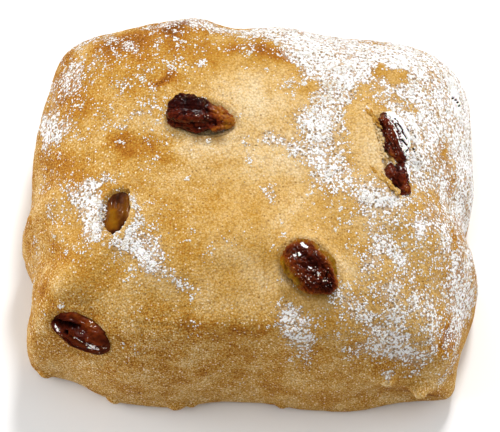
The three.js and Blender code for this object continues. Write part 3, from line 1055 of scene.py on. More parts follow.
@dataclass
class Crust:
    """The bun's crust: relief, dents round the raisins, torn places, browning and flour."""

    form: DoughForm
    raisins: tuple[Raisin, ...]
    mouths: tuple[Mouth, ...]
    grid_steps: tuple[int, int] = (16, 8)
    sole_kept: float = 0.12  # share of the flat sole's faces that is kept
    refined: tuple[float, float] = (0.7, 1.35)  # inner and outer ring of finer faces round a raisin
    plain_bake: float = 0.42  # how far the crown is browned where nothing else marks it
    plain_flour: float = 0.04  # the thinnest dusting
    press_depth: float = 1.3  # how far the crust sinks under a raisin, mm
    slit_depth: float = 0.1  # of the dark slits, mm
    relief: tuple[Stroke, ...] = strokes(
        (-14, 26, 33, -11, 29, 30, 4.5, 1.1), (1, 22, 36, 5, 26, 33, 4.5, 1),
        (-36, -16, 29, -31, -18, 33, 3, 0.4), (-41, -21, 20, -34, -25, 31, 4, 0.7),
        (-40.2, -13.3, 24.5, -36, -14.5, 30, 1.6, 0.35), (-36, -14.5, 30, -31.1, -19.9, 34.1, 1.5, 0.35),
        (9.2, 21.1, 35.5, 19.1, 19.3, 35.8, 1.5, 0.25), (19.1, 19.3, 35.8, 27.2, 15.7, 35.6, 1.5, 0.25),
        (-7, -33, 30, 9, -33.5, 30, 3.5, 1.2), (-17, -30, 33, -15, -30, 33, 5, -1.2),
        (-4, -25, 36, 4, -25, 36, 4, -0.6), (-3, -17, 37, 3, -17, 37, 5, 0.5),
        (-9, -8, 38, 12, -8, 38, 6, -0.7), (23, -38, 18, 32, -38.5, 13, 2.6, 1.2),
        (32, -38.5, 13, 38, -38, 5, 2.6, 1.2), (22, -39.5, 9, 33, -40, 4, 4, -0.9),
        (36, -34, 18, 38, -30, 17, 3, 0.9), (8.6, -18.5, 37, 11.1, -19, 37, 1.8, 0.9),
        (-24.9, -13.9, 36, -24.9, -13.9, 36, 5.5, 1), (21.1, 6, 37, 23.6, -9, 36.5, 2.6, 1.1),
        (29.6, 4.6, 35, 30.6, -1.4, 34, 1.3, 0.9),
    )
    nubs: tuple[tuple[float, float, float, float], ...] = (  # bearing, level, radius, proud
        (219, 2.4, 1.8, 0.7),
        (234.5, 2.1, 1.8, 0.8),
        (249.5, 2.5, 2.2, 0.9),
        (253, 1.9, 1.6, 0.6),
        (278.5, 1.8, 1.5, 0.6),
        (303.5, 16.8, 1.5, 1.2),
        (309.5, 13.2, 1.5, 1.3),
    )
    browned: tuple[Stroke, ...] = strokes(
        (-3, 19.8, 36.5, 1.6, 19.6, 36.5, 2.5, 0.3), (3, 19.6, 36.5, 6.8, 19.4, 36.4, 1.7, 0.3),
        (22.8, 15.9, 36.4, 28.8, 15.3, 35.2, 2, 0.16), (-27.4, 24.4, 32.7, -13.9, 26.8, 33.2, 4, 0.25),
        (-26, 21.5, 34.5, -8, 20, 36.5, 4, 0.16), (-37.6, 21.2, 25, -33.8, 9.9, 32.4, 4.5, 0.3),
        (-39.8, 2.5, 25.8, -33.3, -4.2, 33.4, 4, 0.26), (-24.6, 0.7, 36.4, -16.8, -1.5, 37.6, 2.4, 0.32),
        (-17.8, 12.9, 37.4, -15.5, 13.7, 37.5, 1.5, 0.5), (-15, 25.4, 34.2, -13.2, 27.2, 32.9, 1.8, 0.45),
        (-38, -11, 29, -32.9, -19.2, 32.5, 4, 0.12), (-30.9, -19.9, 34.3, -29.9, -26.1, 32.2, 4, 0.14),
        (-38.3, -24.8, 27.5, -37.9, -28.2, 27.6, 2, 0.3), (-35.9, -18.9, 29.3, -34.6, -19.9, 30.9, 2, 0.2),
        (-11.4, -33, 30, 4.2, -33.8, 28.8, 1.6, 0.2), (-20, -30.4, 32.2, -11, -33.2, 29, 3, 0.1),
        (35.8, -33.7, 21.2, 36.8, -31.2, 21.3, 2.4, 0.42), (29.6, -38.4, 13.2, 35.3, -38.4, 7.7, 1.6, 0.25),
        (24, -38.6, 13, 33, -38.8, 7, 3.2, 0.16), (38.3, -17.2, 27.9, 39, -27.8, 18.9, 3, 0.2),
        (35.8, 4.1, 31.2, 37.6, -4.2, 28.7, 3, 0.26), (31.4, -6, 33.4, 34, -12, 32.4, 2.6, 0.12),
        (-36, -33.5, 19, -30, -35.5, 18, 2.5, 0.16), (-31, 18, 33.5, -22, 22, 34.8, 5, 0.08),
    )
    pale: tuple[Stroke, ...] = strokes(
        (1, 9, 38, 4.5, -1, 38, 8, 0.24), (-4, 14, 37.6, 2, 12, 37.8, 4, 0.06),
        (8.8, -15.8, 37.6, 17.1, -26.9, 34.2, 4.5, 0.1), (-14.4, 2.6, 37.8, -6, -1.3, 38, 4, 0.2),
        (19.4, 8, 37.3, 22, -7, 36.6, 4, 0.16), (22.4, 3.8, 37.3, 24.5, -8, 36.6, 1.6, 0.1),
        (-4.1, -29.6, 33, 3.3, -29.8, 33, 2.6, 0.14), (-4.1, -23.2, 36.2, 3.3, -26, 35.4, 3, 0.06),
        (24, -14, 35.5, 34, -26, 30, 9, 0.07), (28, 8, 35, 38, 0, 28, 8, 0.08),
        (30, 18, 34, 40, 10, 26, 6, 0.1), (-36, -15, 29.9, -31, -20.3, 34.2, 2, 0.12),
        (-27.2, -12, 36, -27, -17, 36, 1, 0.12), (-22.4, -12, 37, -24, -18.4, 36.4, 1.1, 0.14),
        (25.4, -38.3, 16.9, 25.4, -38.3, 16.7, 1.4, 0.36), (31.3, -38.2, 14.1, 31.3, -38.2, 13.9, 1.4, 0.36),
    )
    dusted: tuple[Stroke, ...] = strokes(
        # along the back edge and round the back right corner
        (-11.1, 28.3, 31.6, 9.2, 23.6, 34.2, 2.8, 0.8), (10.2, 23.7, 34, 32.4, 20.3, 32.2, 4.2, 0.82),
        (9, 28, 29.5, 28, 26, 27.5, 4, 0.86), (30, 23.5, 30.5, 38, 18.5, 27.5, 4, 0.9),
        (13.5, 19.5, 36.2, 24, 18.6, 35.9, 4.6, 0.68), (30, 19, 33.6, 37, 14, 30.5, 4.5, 0.85),
        (36, 22.5, 27, 41.6, 12, 21, 5.6, 0.97), (12, 31, 23, 30, 28.5, 19, 5.5, 0.9),
        (34, 27, 19, 43, 17, 13, 5.5, 0.9), (44, 8, 12, 44, -8, 9, 5, 0.85),
        (43.6, -4, 9, 43, -17, 9, 4, 0.75), (42, 5, 20, 42.7, -12, 12, 6.5, 0.9),
        (2, 29.5, 29, 4.4, 25.9, 33.1, 2.5, 0.7), (10.1, 19.4, 36.2, 18.6, 14.3, 37.2, 2.4, 0.7),
        (6.6, 23.4, 34.6, 9, 18.4, 36.6, 1.6, 0.5), (-2, 21.4, 36, 7, 20.4, 36.2, 2.6, 0.34),
        (7.6, 12.6, 37.7, 12, 15.4, 37.3, 2.6, 0.42), (8.4, 6, 38, 9.4, -3, 37.9, 2.2, 0.34),
        (19.6, 16.8, 36.8, 22.2, 15.6, 36.5, 1.8, 0.6),
        # the right side
        (29, 12, 35.4, 37.5, 9, 29.6, 4.5, 0.7), (28, 9, 35.6, 33, 4, 33.4, 3.5, 0.62),
        (33.9, 7, 32.8, 35.6, -3.8, 30.1, 4, 0.66), (39.4, 6, 27, 40.6, -6, 20.5, 3.4, 0.85),
        (29.7, 6, 35, 31.4, -5.4, 33.4, 2.1, 0.97), (36.5, -4, 30, 38.4, -12, 27, 2.2, 0.4),
        (33, -9, 32, 36, -16, 30, 3, 0.1), (39, -8, 24, 40, -24, 16, 4.4, 0.72),
        (38.6, -29, 20, 37.6, -36, 14, 3.6, 0.56),
        # patches over the crown, back right
        (13.4, 12.6, 37.7, 12.6, 5, 37.9, 3.4, 0.6), (15.6, 9.8, 37.6, 17, 4, 37.7, 2.3, 0.6),
        (17.4, 12.6, 37.4, 18.4, 9.6, 37.5, 2.4, 0.6), (12.4, 5, 37.9, 13, -5.3, 37.9, 3, 0.75),
        (16.5, 0, 37.7, 17.6, -7, 37.5, 2.2, 0.45), (3, 1.2, 38, 8.2, -1.2, 38, 1.8, 0.7),
        (14.5, -8.3, 37.7, 20, -12, 37, 4, 0.34), (21.5, -10.3, 37.1, 26, -11.1, 36.2, 1.7, 0.85),
        # round the left raisin
        (-31.6, -8, 34.4, -29.2, -16.4, 35, 2.6, 0.72), (-30.8, -7.4, 35, -27, -6.2, 36.4, 1.1, 0.62),
        (-28.6, -10.6, 35.6, -28.2, -18.6, 35.4, 0.9, 0.7), (-21.8, -10.4, 37, -21.6, -16.8, 36.9, 0.7, 0.8),
        (-23.2, -18.9, 36.5, -18.7, -22.4, 35.9, 2.4, 0.84), (-21.9, -11.9, 37, -20.3, -16.4, 37.2, 0.9, 0.4),
        (-18.4, -23.4, 35.8, -11.4, -28.3, 34.1, 1.9, 0.55), (-21, -17.6, 37, -18.4, -19.8, 36.6, 2, 0.4),
        # the left side
        (-40.6, 12, 22, -37.2, 6.4, 29.2, 2.9, 0.88), (-36.4, 20, 28.5, -32.1, 12, 33.2, 3.2, 0.3),
        (-35.6, 10, 31, -34.6, 6, 32.2, 2, 0.4), (-25.2, 3.6, 36.5, -19.6, 8.2, 37.4, 0.9, 0.55),
        (-36, -4, 31, -34, -8, 33, 2, 0.3),
        # the front right quarter
        (24, -15, 35.5, 36, -30, 27, 9, 0.38), (16, -33, 30.5, 30, -35.5, 23, 5.5, 0.42),
        (20, -36.3, 25.3, 31.5, -36.6, 20, 3, 0.35), (40, -14, 24, 38.6, -28, 19, 3.6, 0.38),
        (21.4, -16.2, 35.7, 22.9, -17.5, 35.1, 1.5, 0.6), (24.4, -19.2, 34.4, 26.6, -20.8, 33.3, 1.6, 0.75),
        (21, -22.8, 34.3, 22.9, -20, 34.5, 1.4, 0.55), (30.8, -15, 34.1, 31.2, -16.8, 33.4, 1.4, 0.6),
        (35.1, -13.7, 31.6, 38.9, -25, 22.1, 2.4, 0.6), (25.8, -26.9, 31.7, 27.1, -33.7, 26.3, 1.8, 0.6),
        (30.8, -27.8, 29.1, 35.6, -33.8, 21.4, 2, 0.55), (21.7, -32.1, 29.8, 28, -35.8, 22.9, 2.2, 0.45),
        (16.4, -28.6, 33.8, 20.6, -31.6, 30.8, 1.8, 0.45), (24.6, -37.9, 18.8, 25.4, -37.9, 18.4, 1, 0.8),
        (29.6, -37.4, 17.6, 31, -37.4, 16.6, 1, 0.8),
        # small patches over the crown and the front
        (-0.9, 1.2, 38, -0.2, -4.6, 38, 0.7, 0.55), (-10.8, 16.8, 37.3, -9, 18.2, 37.1, 1, 0.6),
        (2.9, -9.4, 37.9, 4.2, -11.1, 37.9, 1.2, 0.55), (-4.4, -18.8, 37.2, -3, -19.6, 37.1, 1.3, 0.5),
        (-8.6, -22.5, 36.5, -7.4, -21.1, 36.9, 1.3, 0.45), (7, -31.4, 32, 9, -34.6, 28.6, 3.2, 0.8),
        (8.6, -34.6, 28.6, 9.6, -37.2, 22, 3, 0.45), (-10.3, -33.7, 28.8, -11.5, -34.4, 27.7, 1.8, 0.4),
        (-22.1, -35.4, 25.5, -20.8, -36.2, 24.1, 1.2, 0.45),
    )
    dashes: tuple[Stroke, ...] = strokes(
        # dark slits in the flour beside the right raisins
        (28.8, 4.2, 35.5, 29.1, 3.7, 35.3, 0.26, 1.1), (29.9, 3.2, 35, 30.4, 2.4, 34.8, 0.26, 1.1),
        (29.9, 0.2, 34.9, 30.2, -0.5, 34.6, 0.24, 1.1), (31.2, -0.6, 34.2, 31.4, -1.2, 34, 0.26, 1.1),
        (31, -2.2, 34.1, 31.1, -2.5, 34, 0.26, 1.1), (31, -3.9, 34, 31.4, -4.7, 33.7, 0.26, 1.1),
        (21, -11, 37.1, 21.3, -11.1, 37.1, 0.24, 1.1), (22.9, -11.4, 36.8, 23, -11.5, 36.8, 0.24, 1),
        # cracks in the floured ring by the left raisin
        (-22.6, -18.6, 36.4, -20.9, -20.6, 36.2, 0.24, 0.68),
        (-21, -17.6, 36.6, -18.6, -20.6, 36.3, 0.24, 0.68), (-22.4, -21, 36, -20.8, -23, 35.6, 0.22, 0.66),
    )
    bare: tuple[Stroke, ...] = strokes(
        (24, 16.2, 36.2, 28.4, 15.3, 35.2, 1.4, 0.95), (9.4, 10.1, 37.8, 11.3, 11.9, 37.7, 1.5, 0.85),
        (27.3, 10.6, 36, 30.3, 9.1, 34.8, 1.3, 0.5), (19.4, 6.9, 37.4, 22.4, -3.8, 36.9, 2, 0.7),
        (33.9, -3.5, 31.8, 36.7, 2.5, 30.2, 1.2, 0.3), (16.3, -11.2, 37.2, 20.3, -17.5, 35.5, 2, 0.5),
        (-22.5, -12, 36.9, -24, -18.4, 36.4, 0.8, 0.85), (-27.3, -12, 35.8, -27, -17, 35.8, 0.6, 0.7),
        (35.5, -31.1, 23.3, 35, -35, 20.8, 1.2, 0.6),
    )
    # amber painted shadow below the raisins, tinted by the light through them, and a little syrupy stain
    syrup: tuple[Stroke, ...] = strokes(
        (-10.6, 1.2, 38, -5.8, 1.1, 38, 1, 0.75), (5.3, -23.2, 36.4, 8.8, -27.1, 35.1, 1.5, 0.6),
        (8.8, -27.7, 34.7, 14.4, -29, 33.9, 1.7, 0.6), (-34.4, -34.4, 18.2, -30.1, -36.6, 18.4, 1.6, 0.5),
        (-23.3, -10.8, 36.9, -23.3, -16, 36.8, 0.6, 0.22),
    )

    def middle(self) -> np.ndarray:
        """The middle of the dough's outline.

        Returns:
            Its place, mm, which is the part's origin.
        """
        bearing = np.linspace(-math.pi, math.pi, 1441)
        radius = self.form.outline_radius(bearing)
        x, y = radius * np.cos(bearing), radius * np.sin(bearing)
        return np.array([x.min() + x.max(), y.min() + y.max(), 0]) / 2

    def build(self, material: bpy.types.Material) -> bpy.types.Object:
        """Models the crust.

        Args:
            material: its finish.

        Returns:
            The crust, which stands for the solid named bun.
        """
        piece = cube_grid("crust", self.grid_steps)
        self.refine(piece)
        cube = points_of(piece)
        smooth = self.dough_points(cube)
        move_points(piece, smooth)
        out = normals_of(piece)
        upright = cube[:, 2] > -0.999
        slits = sum(s.at(smooth) for s in self.dashes)
        lift = self.main_relief(smooth) + self.fine_relief(smooth, out) - self.slit_depth * slits
        points = smooth + out * np.where(upright, lift, 0)[:, None]
        points = self.press_in(points, out)
        points[:, 2] = np.maximum(points[:, 2], 0)
        points[~upright, 2] = self.sole_dimples(points[~upright])
        move_points(piece, points)
        paint(piece, "flour", self.flour_at(smooth, out))
        paint(piece, "bake", self.bake_at(smooth, out))
        paint(piece, "coarse", self.coarse_at(smooth, out))
        paint(piece, "syrup", self.syrup_and_raisin_shadow_at(smooth))
        paint(piece, "slit", slits)
        self.thin_sole(piece, upright)
        move_points(piece, (points_of(piece) - self.middle()) * MM)
        finish_piece(piece, material)
        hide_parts("bun")
        return piece

    def refine(self, piece: bpy.types.Object) -> None:
        """Divides the crust's faces once more round the raisins and at the torn places.

        Args:
            piece: the crust, still a cube.
        """
        corners = np.zeros(len(piece.data.loops), np.int32)
        piece.data.loops.foreach_get("vertex_index", corners)
        centres = self.dough_points(points_of(piece)[corners.reshape(-1, 4)].mean(axis=1))
        near = np.zeros(len(centres), bool)
        for spot in (*self.raisins, *self.mouths):
            ring, height = self.ring(spot, centres)
            inner = self.refined[0] if isinstance(spot, Raisin) else 0
            near |= (ring > inner) & (ring < self.refined[1]) & (np.abs(height) < 4)
        edit_chosen(piece, "FACE", near)
        bpy.ops.mesh.subdivide(number_cuts=1, ngon=False)
        bpy.ops.object.mode_set(mode="OBJECT")

    def ring(self, spot: Raisin | Mouth, points: np.ndarray) -> tuple[np.ndarray, np.ndarray]:
        """Where points lie about a raisin or a torn place.

        Args:
            spot: the raisin or the torn place.
            points: places in mm.

        Returns:
            The distance from its middle, 1 at its outline, and the height over the dough, mm.
        """
        middle, axes = self.form.surface_frame(spot.x, spot.y, spot.heading)
        local = (points - middle) @ axes.T
        ring = np.hypot(local[:, 0] / (spot.length / 2), local[:, 1] / (spot.width / 2))
        return ring, local[:, 2]

    def dough_points(self, cube: np.ndarray) -> np.ndarray:
        """Moves the grid of a cube onto the smooth dough, in steps of even length.

        Args:
            cube: points of a cube of two units.

        Returns:
            Their places on the dough, mm.
        """
        reach = np.maximum(np.abs(cube[:, 0]), np.abs(cube[:, 1]))
        down = (1 - cube[:, 2]) / 2
        along = np.where(cube[:, 2] > 0.999, reach / 3, 1 / 3 + down * 2 / 3)
        bearing = np.arctan2(cube[:, 1], cube[:, 0])
        share, level = self.form.meridian(self.form.even_turns(along), self.form.flatness(bearing))
        sole = cube[:, 2] < -0.999
        share = np.where(sole, (1 - self.form.foot_tuck) * reach, share)
        level = np.where(sole, 0, level)
        radius = share * self.form.outline_radius(bearing)
        return np.stack([radius * np.cos(bearing), radius * np.sin(bearing), level], 1)

    def main_relief(self, points: np.ndarray) -> np.ndarray:
        """Lifts the ridges and nubs and sinks the hollows.

        Args:
            points: places on the smooth dough, mm.

        Returns:
            How far each point moves outwards, mm.
        """
        lift = np.zeros(len(points))
        for stroke in self.relief:
            lift += stroke.at(points)
        for bearing, level, radius, proud in self.nubs:
            turn = math.radians(bearing)
            reach = self.form.wall_share(level, turn) * self.form.outline_radius(np.array([turn]))[0]
            place = np.array([reach * math.cos(turn), reach * math.sin(turn), level])
            off = np.linalg.norm(points - place, axis=1)
            ball = np.sqrt(np.maximum(radius**2 - off**2, 0)) - (radius - proud)
            lift = np.where(off < radius, lift + np.maximum(ball, 0), lift)
        return lift

    def fine_relief(self, points: np.ndarray, out: np.ndarray) -> np.ndarray:
        """The uneven skin: soft waves, small lumps and short wrinkles near the edges.

        Args:
            points: places on the smooth dough, mm.
            out: the normals there.

        Returns:
            How far each point moves outwards, mm.
        """
        waves = 0.28 * noise(points, 11, 2, SEED)
        lumps = 0.11 * noise(points, 3.2, 2, SEED + 1)
        grains = 0.05 * noise(points, 1.1, 2, SEED + 2)
        stretched = points * [1, 1, 3.0]
        wrinkles = -0.22 * fade(noise(stretched, 7, 2, SEED + 3), 0.1)
        edge = smooth_step(1 - out[:, 2], 0.12, 0.4) * smooth_step(points[:, 2], 8, 18)
        return waves + lumps + grains + wrinkles * edge

    def press_in(self, points: np.ndarray, out: np.ndarray) -> np.ndarray:
        """Sinks the crust under the raisins and into the torn places, with a raised rim.

        Args:
            points: places on the crust, mm.
            out: the normals there.

        Returns:
            Their new places, mm.
        """
        moved = points.copy()
        for raisin in self.raisins:
            ring, height = self.ring(raisin, points)
            near = (ring < 2.2) & (np.abs(height) < 6)
            gap = (ring - 1) * (raisin.length * raisin.width) ** 0.5 / 2
            lift = raisin.collar * fade(gap - 0.9, 0.9) - self.press_depth * smooth_step(-gap, 0.1, 1.4)
            moved += out * np.where(near, lift, 0)[:, None]
        for mouth in self.mouths:
            ring, height = self.ring(mouth, points)
            ring = ring + 0.2 * noise(points, 1.6, 2, SEED + 4) + 0.16 * noise(points, 0.8, 1, SEED + 17)
            near = (ring < 3) & (np.abs(height) < 6)
            gap = (ring - 1) * mouth.width / 2
            lift = mouth.lip * fade(gap - 0.5, 0.6) - mouth.depth * smooth_step(-gap, -0.1, 0.5)
            moved += out * np.where(near, lift, 0)[:, None]
        return moved

    def sole_dimples(self, points: np.ndarray) -> np.ndarray:
        """Dimples the flat sole, nowhere below its own level.

        Args:
            points: places on the smooth dough, mm.

        Returns:
            Each point's level, mm.
        """
        dimples = 0.35 * np.maximum(noise(points, 6, 2, SEED + 5), 0)
        radius = np.hypot(points[:, 0], points[:, 1])
        edge = self.form.outline_radius(np.arctan2(points[:, 1], points[:, 0]))
        return dimples * smooth_step(0.93 - radius / edge, 0, 0.1)

    def flour_at(self, points: np.ndarray, out: np.ndarray) -> np.ndarray:
        """Dusts the crust with flour.

        Args:
            points: places on the smooth dough, mm.
            out: the normals there.

        Returns:
            How thickly it lies at each point, from 0 to 1.
        """
        drift = np.stack([noise(points, 3.5, 2, SEED + 6 + i) for i in range(3)], 1)
        shaken = points + drift * 1.3
        bare = np.ones(len(points))
        for stroke in self.dusted:
            bare *= 1 - stroke.at(shaken, 2.6)
        # a thin scatter all over, thicker at the left, the back and the right
        patches = noise(points, 8, 3, SEED + 9)
        spread = self.plain_flour
        spread += 0.2 * smooth_step(-points[:, 0], 6, 24) * smooth_step(points[:, 1], -32, -16)
        spread += 0.12 * smooth_step(points[:, 1], 8, 22)
        spread += 0.24 * smooth_step(points[:, 0], 12, 26) * smooth_step(points[:, 1], -36, -24)
        scatter = spread * (1 + 0.8 * np.clip(patches * 2, -1, 1))
        # little of it stays on the walls, but for the right one and the back
        sheltered = 0.2 + 0.8 * smooth_step(out[:, 2], 0.25, 0.75)
        sheltered += 0.8 * smooth_step(np.abs(points[:, 0]), 36, 41) * smooth_step(points[:, 2], 6, 14)
        behind = smooth_step(points[:, 1], 15, 30) * smooth_step(points[:, 2], 3, 12)
        loose = scatter * np.maximum(sheltered, behind * 1.4)
        under = 0.45 * smooth_step(-out[:, 2], 0.6, 0.9) * smooth_step(patches, -0.3, 0.3)
        left = np.ones(len(points))
        for stroke in self.bare:
            left *= 1 - stroke.at(shaken, 3)
        streaks = self.streaks_at(points)
        return np.clip((1 - bare * (1 - loose) * (1 - under)) * left * streaks, 0, 1)

    def streaks_at(self, points: np.ndarray) -> np.ndarray:
        """Draws the flour into streaks that run along the bun's edge.

        Args:
            points: places on the smooth dough, mm.

        Returns:
            The share of the flour that is left at each point.
        """
        bearing = np.arctan2(points[:, 1], points[:, 0])
        share = np.hypot(points[:, 0], points[:, 1]) / self.form.outline_radius(bearing)
        along = np.stack([share * 34, bearing * 8, points[:, 2] * 0.6], 1)
        bands = noise(along, 1.6, 2, SEED + 18)
        return 1 - 0.26 * smooth_step(share, 0.5, 0.85) * smooth_step(bands, 0.0, 0.4)

    def coarse_at(self, points: np.ndarray, out: np.ndarray) -> np.ndarray:
        """How strongly the grain of the crust shows: less on the pale crown than down the sides."""
        return 0.8 + 0.5 * smooth_step(-points[:, 0], 0, 22) + 1.2 * smooth_step(0.9 - out[:, 2], 0, 0.5)

    def syrup_and_raisin_shadow_at(self, points: np.ndarray) -> np.ndarray:
        """Paints an amber-olive tint on the crust: painted shadow below the raisins, tinted by the light
        through them, and a little syrupy stain.

        Args:
            points: places on the smooth dough, mm.

        Returns:
            How far each point is tinted, from 0 to 1.
        """
        syrup = np.zeros(len(points))
        for stroke in self.syrup:
            syrup = np.maximum(syrup, stroke.at(points))
        return syrup

    def bake_at(self, points: np.ndarray, out: np.ndarray) -> np.ndarray:
        """Browns the crust.

        Args:
            points: places on the smooth dough, mm.
            out: the normals there.

        Returns:
            How far each point is browned, from 0 for cream to 1 for deep brown.
        """
        drift = np.stack([noise(points, 4.5, 2, SEED + 12 + i) for i in range(3)], 1)
        shaken = points + drift * 1.4
        bake = np.full(len(points), self.plain_bake)
        bake += 0.025 * smooth_step(-points[:, 0], 5, 30) + 0.04 * smooth_step(points[:, 1], 4, 20)
        bake += 0.1 * smooth_step(0.75 - out[:, 2], 0, 0.5) - 0.03 * smooth_step(-points[:, 0], 20, 34)
        for stroke in self.browned:
            bake += stroke.at(shaken)
        for stroke in self.pale:
            bake -= stroke.at(shaken)
        # the walls are mottled, and the sole is the brownest
        wall = smooth_step(0.8 - out[:, 2], 0, 0.4)
        bake += wall * (0.14 * noise(points, 3.0, 2, SEED + 21) + 0.12 * noise(points, 7.0, 2, SEED + 22))
        under = smooth_step(-out[:, 2], 0.5, 0.9)
        return np.clip(bake + under * (0.22 + 0.25 * noise(points, 9, 3, SEED + 15)), 0, 1)

    def thin_sole(self, piece: bpy.types.Object, upright: np.ndarray) -> None:
        """Thins the faces of the nearly flat sole, which needs fewer than the crust.

        Args:
            piece: the crust.
            upright: for each vertex, whether it lies above the sole.
        """
        edit_chosen(piece, "VERT", ~upright)
        bpy.ops.mesh.select_less()
        bpy.ops.mesh.decimate(ratio=self.sole_kept)
        bpy.ops.object.mode_set(mode="OBJECT")


# ---------------- the raisins


@dataclass
class RaisinSkin:
    """Models raisins: blunt spindles with lengthwise folds and a wrinkled skin."""

    form: DoughForm
    middle: np.ndarray
    grid_steps: tuple[int, int] = (9, 8)
    lumps: float = 0.08
    plain_tone: float = 0.42

    def build(self, raisin: Raisin, material: bpy.types.Material) -> bpy.types.Object:
        """Models one raisin.

        Args:
            raisin: its sizes and its place.
            material: its skin.

        Returns:
            The raisin, which stands for the solid of the same name.
        """
        piece = cube_grid(f"{raisin.name}_skin", self.grid_steps)
        bpy.ops.object.mode_set(mode="EDIT")
        bpy.ops.mesh.select_all(action="SELECT")
        bpy.ops.transform.tosphere(value=1.0)
        bpy.ops.object.mode_set(mode="OBJECT")
        ball = points_of(piece)
        ball /= np.linalg.norm(ball, axis=1)[:, None]
        body = self.body(raisin, ball)
        move_points(piece, body)
        out = normals_of(piece)
        seed = SEED + 30 + 5 * len(raisin.name) + int(raisin.length * 10)
        lift, crease, domes = self.skin_relief(raisin, body, seed)
        points = body + out * lift[:, None]
        move_points(piece, (raisin.placed(self.form, points) - self.middle) * MM)
        # painted light and shade on the pebbles: lighter tops, darker hollows
        tone = self.tone_at(raisin, ball, body, lift) + raisin.relief.pebble_painted_light * (domes - 0.5)
        paint(piece, "tone", np.clip(tone, 0, 1))
        paint(piece, "dust", self.dust_at(raisin, ball, body, crease))
        flat = body * [1, 1, 0]
        # painted highlights: the share of pale highlight dots painted on the upper side
        painted_highlight_parts = [s.at(flat, 3) for s in raisin.painted_highlight_strokes]
        painted_highlight = np.max([np.zeros(len(body)), *painted_highlight_parts], axis=0)
        paint(piece, "sparkle", painted_highlight * smooth_step(ball[:, 2], -0.2, 0.2))
        finish_piece(piece, material)
        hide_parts(raisin.name)
        return piece

    def skin_relief(
        self, raisin: Raisin, body: np.ndarray, seed: int
    ) -> tuple[np.ndarray, np.ndarray, np.ndarray]:
        """The wrinkles of a raisin's skin.

        Args:
            raisin: its sizes.
            body: the smooth body's points, mm round its middle.
            seed: chooses the pattern.

        Returns:
            How far each point is lifted, mm, how deep it lies in a crease and how far up a
            pebble, both from 0 to 1.
        """
        relief = raisin.relief
        grain = body * [0.6, 1.0, 1.0]
        bent = grain + 0.7 * np.stack([noise(grain, 3.0, 1, seed + i) for i in range(3)], 1)
        lumps = relief.lump_depth * noise(bent, relief.lump_cell, 2, seed + 3)
        thin_ridges = 1 - np.clip(np.abs(noise(bent, relief.ridge_cell, 1, seed + 4)) / 0.3, 0, 1)
        domes = pebbles(body, relief.pebble_cell, seed + 5)
        fine = 0.04 * noise(body, 0.5, 1, seed + 6)
        crease = np.zeros(len(body))
        upper = smooth_step(body[:, 2], -0.6, 0.4)
        flat = body * [1, 1, 0]
        for stroke in raisin.creases:
            crease += stroke.at(flat) * upper
        lift = lumps + relief.ridge_depth * (thin_ridges - 0.4) + relief.pebble_depth * (domes - 0.6) + fine
        return lift - crease, np.clip(crease * 2.5, 0, 1), domes

    def body(self, raisin: Raisin, ball: np.ndarray) -> np.ndarray:
        """Shapes the raisin's body with its main folds.

        Args:
            raisin: its sizes and marks.
            ball: points of a unit ball.

        Returns:
            The body's points, mm round its middle.
        """
        along = ball[:, 0]
        turn = np.arctan2(ball[:, 2], ball[:, 1])
        spindle = np.sqrt(np.maximum(1 - along**2, 0)) ** (2 * raisin.blunt)
        pinch = 1 - raisin.waist_depth * fade(along - raisin.waist_at, raisin.waist_spread)
        ridge = np.abs(np.cos(0.5 * raisin.folds * turn + raisin.twist * along))
        skin = 1 - raisin.fold_depth * (1 - ridge)
        lumps = 1 + self.lumps * np.sin(2 * turn + 5 * along + raisin.folds)
        girth = spindle * pinch * skin * lumps * (1 + raisin.taper * along)
        return np.stack([along, girth * np.cos(turn), girth * np.sin(turn)], 1) * raisin.half()

    def tone_at(self, raisin: Raisin, ball: np.ndarray, body: np.ndarray, lift: np.ndarray) -> np.ndarray:
        """Shades the skin.

        Args:
            raisin: its sizes and marks.
            ball: points of a unit ball.
            body: the smooth body's points, mm round its middle.
            lift: how far the wrinkles lift each point, mm.

        Returns:
            How light it is, from 0 in the creases, where shade is painted, to 1 where light comes through.
        """
        flat = body * [1, 1, 0]
        tone = np.full(len(body), self.plain_tone)
        for stroke in raisin.glowing:
            tone += stroke.at(flat)
        for stroke in raisin.dark:
            tone -= stroke.at(flat)
        tone += raisin.rim * smooth_step(1 - np.abs(ball[:, 2]), 0.4, 0.9)
        # painted shade and light: the skin is painted darker where the wrinkles sink it, down into the
        # creases, and a little lighter where they raise it
        tone += 0.25 * np.clip(lift, -1.0, 0.3)
        return np.clip(tone, 0, 1)

    def dust_at(self, raisin: Raisin, ball: np.ndarray, body: np.ndarray, crease: np.ndarray) -> np.ndarray:
        """Dusts the raisin, but not its creases.

        Args:
            raisin: its sizes and marks.
            ball: points of a unit ball.
            body: the smooth body's points, mm round its middle.
            crease: how deep each point lies in a crease, from 0 to 1.

        Returns:
            How thickly flour lies on each point, from 0 to 1.
        """
        flat = body * [1, 1, 0]
        dust = np.zeros(len(body))
        for stroke in raisin.floured:
            dust = np.maximum(dust, stroke.at(flat, 4))
        return dust * smooth_step(ball[:, 2], -0.2, 0.1) * (1 - 0.8 * crease)


# ---------------- torn crumb


@dataclass(frozen=True)
class FlakeRow:
    """Torn pieces of crust or crumb scattered along a line on the dough, in mm."""

    a: tuple[float, float]
    b: tuple[float, float]
    count: int
    size: float  # half a piece's length
    breadth: float  # its width as a share of its length
    spread: float  # how far the pieces stray from the line
    turned: float  # how far they turn from it, degrees
    bake: float
    flour: float = 0.0
    lift: float = 0.1


